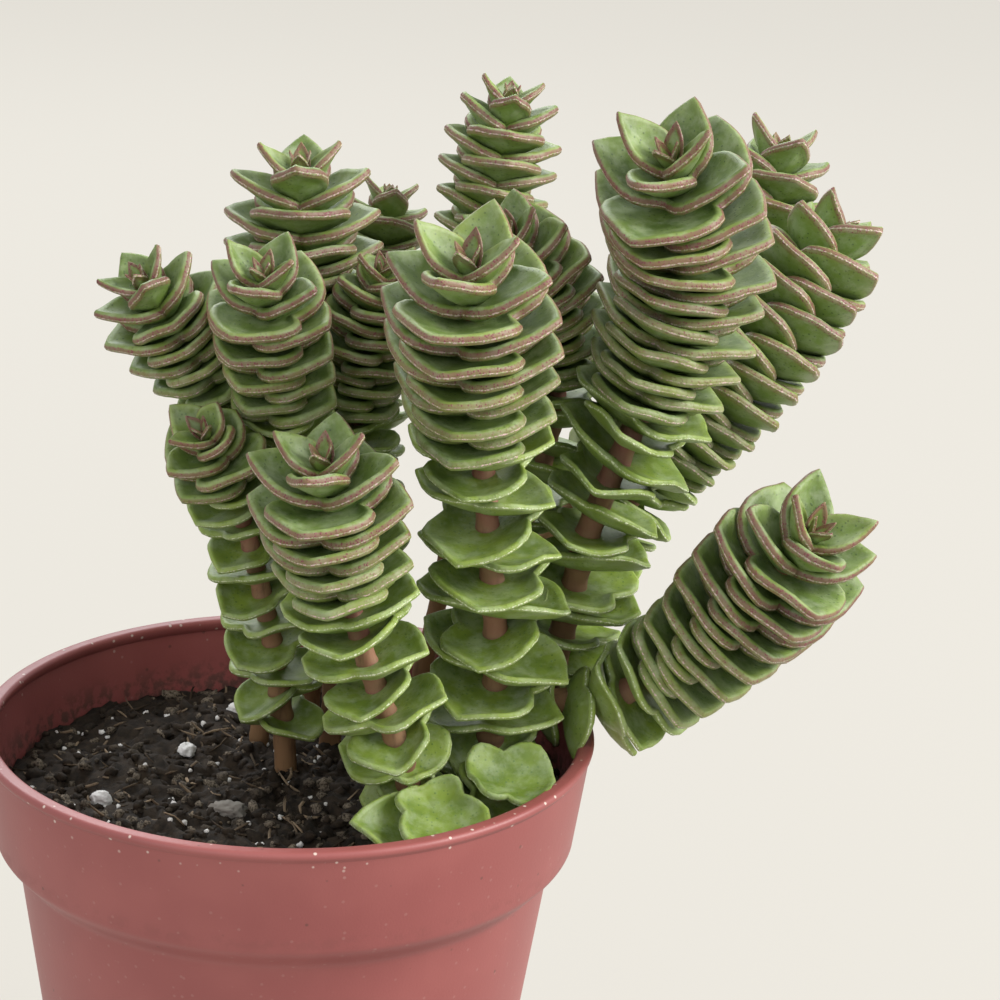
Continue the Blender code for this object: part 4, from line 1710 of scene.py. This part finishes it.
@dataclass
class LeafStack:
    """The leaf pairs of one stretch of a shoot, as one mesh."""
    name: str
    node: str
    slot: str
    pairs: list[LeafPair]
    shapes: bpy.types.Collection
    material: bpy.types.Material
    rng: random.Random
    buds: tuple[BudPair, ...] = ()
    thickness_share: float = 0.92
    thickness_most: float = 2.3 * MM
    narrow_stretch: float = 7 * MM
    crease: float = 0.09
    taper: float = 0.30
    opening: Pair = (-4 * MM, 12 * MM)
    smallest_unit: float = 0.35
    variety: Variety = Variety()

    def unit(self, shoot: Shoot) -> float:
        """Millimetre of the margin's colours, smaller on a small shoot."""
        size = shoot.leaf / RULE.large_leaf
        return MM * (self.smallest_unit + (1 - self.smallest_unit) * size)

    def variant(self, narrow: bool) -> float:
        """Draw a pattern's number; the narrow ones come after the others."""
        return float(self.rng.randrange(SHAPES_EACH) + narrow * SHAPES_EACH)

    def pair_seed(self, pair: LeafPair) -> PairSeed:
        """Draw a grown pair's sizes.

        Args:
            pair: the pair.

        Returns:
            What the layout reads.
        """
        draw, vary, shoot, depth = self.rng.uniform, self.variety, pair.shoot, pair.depth
        start, end = self.opening
        opened = ease(shoot.crown + start, shoot.crown + end, depth)
        young = 1 - min(depth / RULE.growth, 1)
        low = ease(0.5 * pair.route.length, pair.route.length - RULE.root_depth, depth)
        room, tilt = pair.room(), -shoot.tilt * low
        loose, shortest, longest = (value + added * opened for value, added in (
            vary.loose, vary.shortest, vary.longest))
        slope = pair.slope * draw(*vary.slope_range)
        fold = min(max(slope, 0), vary.steepest_fold) * vary.fold_per_slope + vary.least_fold
        cup = vary.closed_cup + vary.young_cup * young - vary.open_cup * opened
        step = RULE.spacing(shoot, depth)
        return PairSeed(
            place=pair.place, along=pair.along, across=pair.across, axis=pair.axis,
            room_a=tuple(room[:3]), room_b=tuple(room[3:]),
            lean=Vector((draw(-loose, loose) + tilt * pair.along.dot(FRONT),
                         draw(-loose, loose) + tilt * pair.across.dot(FRONT), 0)),
            reach=pair.reach * draw(shortest, longest),
            half=0.5 * min(self.thickness_share * step, self.thickness_most),
            slope=slope,
            fold=fold + draw(*vary.fold_range) * opened,
            cup=cup + draw(-vary.cup_play, vary.cup_play),
            age=ease(0.25 * shoot.crown, shoot.crown + 4 * MM, depth),
            tone=self.rng.random() * (1 - 0.5 * opened),
            variant=self.variant(bool(self.buds) and depth < self.narrow_stretch),
            unit=self.unit(shoot))

    def bud_seed(self, number: int, bud: BudPair) -> PairSeed:
        """Size one bud pair above the topmost pair.

        Args:
            number: its number, counted up from 1.
            bud: its sizes.

        Returns:
            What the layout reads.
        """
        top, whole = self.pairs[0], (1, 1, 1)
        turn = Matrix.Rotation(math.radians(RULE.pair_turn * number), 3, top.axis)
        return PairSeed(
            place=top.place + top.axis * bud.lift * MM, along=turn @ top.along,
            across=turn @ top.across, axis=top.axis, room_a=whole, room_b=whole, lean=Vector(),
            reach=top.shoot.leaf * bud.share, half=bud.half, slope=bud.slope, fold=bud.fold,
            cup=bud.cup, age=0.0, tone=self.rng.random(), variant=self.variant(True),
            unit=self.unit(top.shoot))

    def seed_mesh(self) -> bpy.types.Mesh:
        """Make one point for each pair, with its frame and sizes on it.

        Returns:
            A mesh of loose points.
        """
        seeds = [self.pair_seed(pair) for pair in self.pairs]
        seeds += [self.bud_seed(number, bud) for number, bud in enumerate(self.buds, start=1)]
        mesh = bpy.data.meshes.new(self.name)
        mesh.from_pydata([seed.place for seed in seeds], [], [])
        for item in fields(PairSeed):
            store(mesh, item.name, [getattr(seed, item.name) for seed in seeds])
        return mesh

    def build(self) -> bpy.types.Object:
        """Lay the pairs out along the shoot and bend each to its sizes.

        Returns:
            The dressed stack.
        """
        layout = Layout("leaf_pairs")
        shapes = layout.given("Leaf shapes", "Collection", self.shapes)
        crease = layout.given("Crease softness", "Float", self.crease)
        taper = layout.given("Thinner towards the tip", "Float", self.taper)
        pairs = layout.copies(layout.geometry(), shapes, layout.named("variant"))
        real = layout.node("GeometryNodeRealizeInstances", {}, {"Geometry": pairs})
        core, skin = layout.named("core", True), layout.named("skin", True)
        reach, half = layout.named("reach"), layout.named("half")
        slope, cup = layout.named("slope"), layout.named("cup")
        room = layout.named("share_a", True).dot(layout.named("room_a", True))
        room = room + layout.named("share_b", True).dot(layout.named("room_b", True))
        x, y, wave = core.parts()
        out_x, out_y, up = skin.parts()
        x, y = x * room, y * room
        soft = crease * crease
        run = (x * x + soft) ** 0.5 - crease
        spread = (y * y + soft) ** 0.5 - crease
        rise = slope * run * (1 - cup + cup * run) + layout.named("fold") * spread + wave
        rise += layout.named("lean", True).dot(core)
        thick = half * (1 - taper * run)
        steep = (slope * slope * 0.5 + 1) ** 0.5
        along = x * reach + out_x * thick
        across = y * reach + out_y * thick
        above = rise * reach + up * thick * steep
        place = layout.named("place", True) + layout.named("along", True) * along
        place = place + layout.named("across", True) * across + layout.named("axis", True) * above
        shaped = layout.node("GeometryNodeSetPosition", {}, {"Geometry": real, "Position": place})
        distance = layout.named("inset") * reach * room + layout.named("arc") * thick
        shaped = layout.store(shaped, "rim", distance / layout.named("unit"))
        layout.finish(shaped, self.material)
        stack = layout.run(self.name, self.seed_mesh())
        for name in [item.name for item in stack.data.attributes if item.name in DROPPED]:
            stack.data.attributes.remove(stack.data.attributes[name])
        attach(stack, self.slot, self.node)
        return stack


# ---- Stems
@dataclass(frozen=True)
class StemFinish:
    """Young pinkish stem that turns to brown bark lower down."""
    name: str = "stem_bark"
    young: Colour = (0.30, 0.17, 0.10)
    pink: Colour = (0.30, 0.12, 0.09)
    bark: Colour = (0.21, 0.115, 0.05)
    dark: Colour = (0.06, 0.028, 0.015)
    relief: float = 0.25 * MM

    def build(self) -> bpy.types.Material:
        """Make the material.

        Returns:
            The material.
        """
        recipe = Recipe(self.name)
        age = recipe.attribute("age")
        ring = recipe.attribute("ring")
        streak = recipe.grain(700, 4.0, 0.6, Vector((1, 1, 0.22)))
        cloud = recipe.grain(260, 3.0)
        colour = recipe.blend(self.young, self.pink, cloud.between(0.35, 0.65))
        colour = recipe.blend(colour, self.bark, age)
        colour = recipe.blend(colour, self.dark, streak.between(0.52, 0.78) * 0.6)
        colour = recipe.blend(colour, self.dark, ring * 0.55)
        height = streak * 0.6 + cloud * 0.2 + ring * 0.2
        return recipe.shade(colour, 0.55 + 0.25 * age, height, self.relief)


@dataclass
class Stem:
    """One stem with a swelling and a scar at each leaf pair."""
    shoot: Shoot
    route: Route
    depths: list[float]
    material: bpy.types.Material
    node: str
    pitch: float = 0.55 * MM
    corners: int = 18
    swell: float = 0.16
    swell_width: float = 1.1 * MM
    scar_width: float = 0.5 * MM
    top_margin: float = 0.4 * MM
    relief: float = 0.22 * MM
    relief_scale: float = 420.0

    def line_mesh(self) -> bpy.types.Mesh:
        """Make the stem's centre line, from the root up, with its radius on it.

        Returns:
            A mesh of edges.
        """
        upper, lower = self.depths[0] + self.top_margin, self.route.length
        count = round((lower - upper) / self.pitch)
        points, girths, ages, rings = [], [], [], []
        for index in range(count + 1):
            depth = lower + (upper - lower) * index / count
            near = min(abs(depth - pair) for pair in self.depths)
            swollen = 1 + self.swell * math.exp(-(near / self.swell_width) ** 2)
            points.append(self.route.at(depth)[0])
            girths.append(self.route.stem_radius(depth) * swollen)
            ages.append(ease(self.shoot.crown * 0.8, self.shoot.crown + self.shoot.open, depth))
            rings.append(math.exp(-(near / self.scar_width) ** 2))
        mesh = bpy.data.meshes.new(self.shoot.name)
        mesh.from_pydata(points, [(index, index + 1) for index in range(count)], [])
        for name, values in (("girth", girths), ("age", ages), ("ring", rings)):
            store(mesh, name, values)
        return mesh

    def build(self) -> bpy.types.Object:
        """Sweep the stem along its line and roughen it.

        Returns:
            The dressed stem.
        """
        layout = Layout("swept_stem")
        corners = layout.given("Corners", "Int", self.corners)
        relief = layout.given("Relief", "Float", self.relief)
        line = layout.node("GeometryNodeMeshToCurve", {}, {"Mesh": layout.geometry()})
        section = layout.node("GeometryNodeCurvePrimitiveCircle", {},
                              {"Resolution": corners, "Radius": 1.0})
        tube = layout.node("GeometryNodeCurveToMesh", {},
                           {"Curve": line, "Profile Curve": section,
                            "Scale": layout.named("girth"), "Fill Caps": True})
        place = layout.arrow("GeometryNodeInputPosition", {}, [])
        rough = layout.node("ShaderNodeTexNoise", {},
                            {"Vector": place, "Scale": self.relief_scale, "Detail": 2.0}, "Fac")
        push = layout.arrow("GeometryNodeInputNormal", {}, []) * ((rough - 0.5) * relief * 2)
        tube = layout.node("GeometryNodeSetPosition", {}, {"Geometry": tube, "Offset": push})
        layout.finish(tube, self.material)
        stem = layout.run(self.shoot.name + "_bark", self.line_mesh())
        attach(stem, "stem_bark", self.node)
        return stem


BUDS = (BudPair(share=0.24, slope=2.0, lift=0.5), BudPair(share=0.13, slope=3.0, lift=1.0))


@dataclass
class Plant:
    """All fourteen shoots and the two short offsets at the front rim."""
    pot: Pot
    crown_finish: LeafFinish = LeafFinish(
        "crown_leaf", upper=(0.180, 0.262, 0.058), upper_deep=(0.070, 0.120, 0.022),
        under=(0.155, 0.235, 0.050), bloom=(0.38, 0.44, 0.29), blush=(0.175, 0.026, 0.050),
        crest=(0.62, 0.42, 0.43), glow=(0.26, 0.30, 0.07), dot=(0.045, 0.085, 0.022),
        blush_share=1.4, bloom_share=0.42)
    lower_finish: LeafFinish = LeafFinish(
        "lower_leaf", upper=(0.225, 0.310, 0.045), upper_deep=(0.100, 0.160, 0.020),
        under=(0.195, 0.275, 0.055), bloom=(0.40, 0.47, 0.32), blush=(0.26, 0.14, 0.08),
        crest=(0.66, 0.70, 0.50), glow=(0.30, 0.38, 0.09), dot=(0.080, 0.150, 0.028),
        blush_share=0.5, bloom_share=0.36)
    open_thickness: float = 1.5 * MM
    seed: int = 11

    def shapes(self, name: str, *outlines: tuple[Pair, ...]) -> bpy.types.Collection:
        """Build the patterns of the leaf pairs of one stretch.

        Args:
            name: the stretch's name.
            outlines: first quarters of the outlines, each used for several patterns.

        Returns:
            The patterns' collection, in the outlines' order.
        """
        items = []
        for outline in outlines:
            curl = BROAD_CURL if outline is BROAD_OUTLINE else YOUNG_CURL
            for _ in range(SHAPES_EACH):
                number = len(items)
                shape = PairShape(f"{name}_{number:02d}", outline, number + len(name), curl)
                items.append(shape.build())
        return hidden_collection(name, items)

    def pairs(self, shoot: Shoot, route: Route, around: Surroundings,
              rng: random.Random) -> list[LeafPair]:
        """Grow a shoot's leaf pairs.

        Args:
            shoot: the shoot.
            route: its route.
            around: what the leaves stay clear of.
            rng: turns the old pairs a little.

        Returns:
            The pairs, topmost first.
        """
        pairs = []
        for index, depth in enumerate(RULE.pair_depths(shoot, route)):
            loose = 3 + 13 * ease(shoot.crown, shoot.crown + shoot.open, depth)
            bearing = shoot.turn + RULE.pair_turn * index + rng.uniform(-loose, loose)
            pairs.append(LeafPair(shoot, route, depth, bearing, around))
        return pairs

    def build(self) -> list[bpy.types.Object]:
        """Build every shoot's stem, spaced lower pairs and crown.

        Returns:
            The dressed pieces.
        """
        routes = {shoot.name: Route(shoot) for shoot in SHOOTS}
        around = Surroundings(self.pot, routes)
        young = self.shapes("crown_pair", YOUNG_OUTLINE, TIP_OUTLINE)
        broad = self.shapes("old_pair", BROAD_OUTLINE)
        crown_leaf, lower_leaf = self.crown_finish.build(), self.lower_finish.build()
        bark = StemFinish().build()
        pieces = []
        for number, shoot in enumerate(SHOOTS):
            rng = random.Random(self.seed + number)
            route = routes[shoot.name]
            pairs = self.pairs(shoot, route, around, rng)
            upper = [pair for pair in pairs if pair.depth <= shoot.crown]
            lower = [pair for pair in pairs if pair.depth > shoot.crown]
            stem_node = shoot.name + "_stem"
            depths = [pair.depth for pair in pairs]
            pieces.append(Stem(shoot, route, depths, bark, stem_node).build())
            for offset in OFFSETS.get(shoot.name, ()):
                short = Route(offset)
                grown = [pair for pair in self.pairs(offset, short, around, rng)
                         if pair.depth > RULE.hidden_tip]
                lower += grown
                depths = [pair.depth for pair in grown]
                pieces.append(Stem(offset, short, depths, bark, stem_node).build())
            pieces.append(LeafStack(
                shoot.name + "_spaced_pairs", shoot.name + "_lower_leaves", "lower_leaf", lower,
                broad, lower_leaf, rng, thickness_most=self.open_thickness).build())
            pieces.append(LeafStack(
                shoot.name + "_crown_pairs", shoot.name + "_crown", "crown_leaf", upper, young,
                crown_leaf, rng, BUDS).build())
        return pieces


# ---- Studio
@dataclass(frozen=True)
class SoftLight:
    """A square soft light: where it hangs, its side, its power in watts and its tint."""
    name: str
    place: Triple
    size: float
    power: float
    colour: Colour

    def hang(self, aim: Vector) -> None:
        """Hang the light.

        Args:
            aim: what it points at.
        """
        data = bpy.data.lights.new(self.name, "AREA")
        data.size, data.energy, data.color = self.size, self.power, self.colour
        item = bpy.data.objects.new(self.name, data)
        bpy.context.scene.collection.objects.link(item)
        item.location = self.place
        way = aim - Vector(self.place)
        item.rotation_euler = way.to_track_quat("-Z", "Y").to_euler()


LIGHTS = (
    SoftLight("key", (1.05, -0.15, 0.80), 0.7, 25.0, (1.0, 0.98, 0.95)),
    SoftLight("back", (-0.25, 0.95, 0.85), 0.7, 9.0, (0.96, 0.98, 1.0)),
    SoftLight("fill", (-0.5, -1.0, 0.55), 0.9, 3.5, (1.0, 0.99, 0.97)),
)


@dataclass
class Studio:
    """Pale floor, soft lights and the camera."""
    floor_size: float = 14.0
    floor_colour: Colour = (0.807, 0.776, 0.708)
    floor_shade: Colour = (0.085, 0.082, 0.075)
    floor_glow: float = 0.84
    sky_colour: Colour = (0.96, 0.97, 1.0)
    sky_strength: float = 0.90
    light_aim: Triple = (0.02, 0.0, 0.13)
    lens: float = 100.8
    sensor: float = 36
    near_clip: float = 0.01
    distance: float = 479.8 * MM
    elevation: float = 18.26
    roll: float = 2.66
    focus_height: float = 95 * MM
    side_shift: float = -36.23 * MM
    up_shift: float = -37.87 * MM

    def floor(self) -> bpy.types.Object:
        """Lay the floor.

        Returns:
            The floor.
        """
        work = bmesh.new()
        bmesh.ops.create_grid(work, x_segments=1, y_segments=1, size=self.floor_size / 2)
        mesh = from_bmesh("floor", work)
        mesh.materials.append(Recipe("studio_floor").surface({
            "Base Color": (*self.floor_shade, 1), "Roughness": 1.0, "Specular IOR Level": 0.0,
            "Emission Color": (*self.floor_colour, 1), "Emission Strength": self.floor_glow}))
        floor = add_object("floor", mesh)
        return floor

    def camera(self) -> None:
        """Set up the camera."""
        tilt, roll = math.radians(self.elevation), math.radians(self.roll)
        back = Vector((0, -math.cos(tilt), math.sin(tilt)))
        right, up = Vector((1, 0, 0)), Vector((0, math.sin(tilt), math.cos(tilt)))
        across = math.cos(roll) * right + math.sin(roll) * up
        upward = math.cos(roll) * up - math.sin(roll) * right
        aim = Vector((0, 0, self.focus_height))
        place = aim + self.distance * back
        place = place - self.side_shift * across - self.up_shift * upward
        data = bpy.data.cameras.new("camera")
        data.lens = self.lens
        data.sensor_width = self.sensor
        data.clip_start = self.near_clip
        camera = bpy.data.objects.new("camera", data)
        matrix = Matrix((across, upward, back)).transposed().to_4x4()
        matrix.translation = place
        camera.matrix_world = matrix
        bpy.context.scene.collection.objects.link(camera)
        bpy.context.scene.camera = camera

    def build(self) -> None:
        """Build the floor, the lights and the camera."""
        scene = bpy.context.scene
        scene.view_settings.view_transform = "Standard"
        world = bpy.data.worlds.new("soft_sky")
        world.use_nodes = True
        backdrop = world.node_tree.nodes["Background"]
        backdrop.inputs["Color"].default_value = (*self.sky_colour, 1)
        backdrop.inputs["Strength"].default_value = self.sky_strength
        scene.world = world
        self.floor()
        for light in LIGHTS:
            light.hang(Vector(self.light_aim))
        self.camera()


def main() -> None:
    """Build the studio and every piece."""
    logging.basicConfig(level=logging.INFO, format="%(name)s %(message)s")
    Studio().build()
    pot = Pot()
    pot.build()
    SoilBed(pot).build()
    white, grey = PERLITE.build(), BARK.build()
    for number in range(1, 6):
        Lump(f"perlite_{number}", "perlite", white, PERLITE_FACETS, seed=2.3 * number).build()
    Lump("bark_chip", "bark", grey, BARK_FACETS, seed=17.0).build()
    Plant(pot).build()


if __name__ == "__main__":
    main()
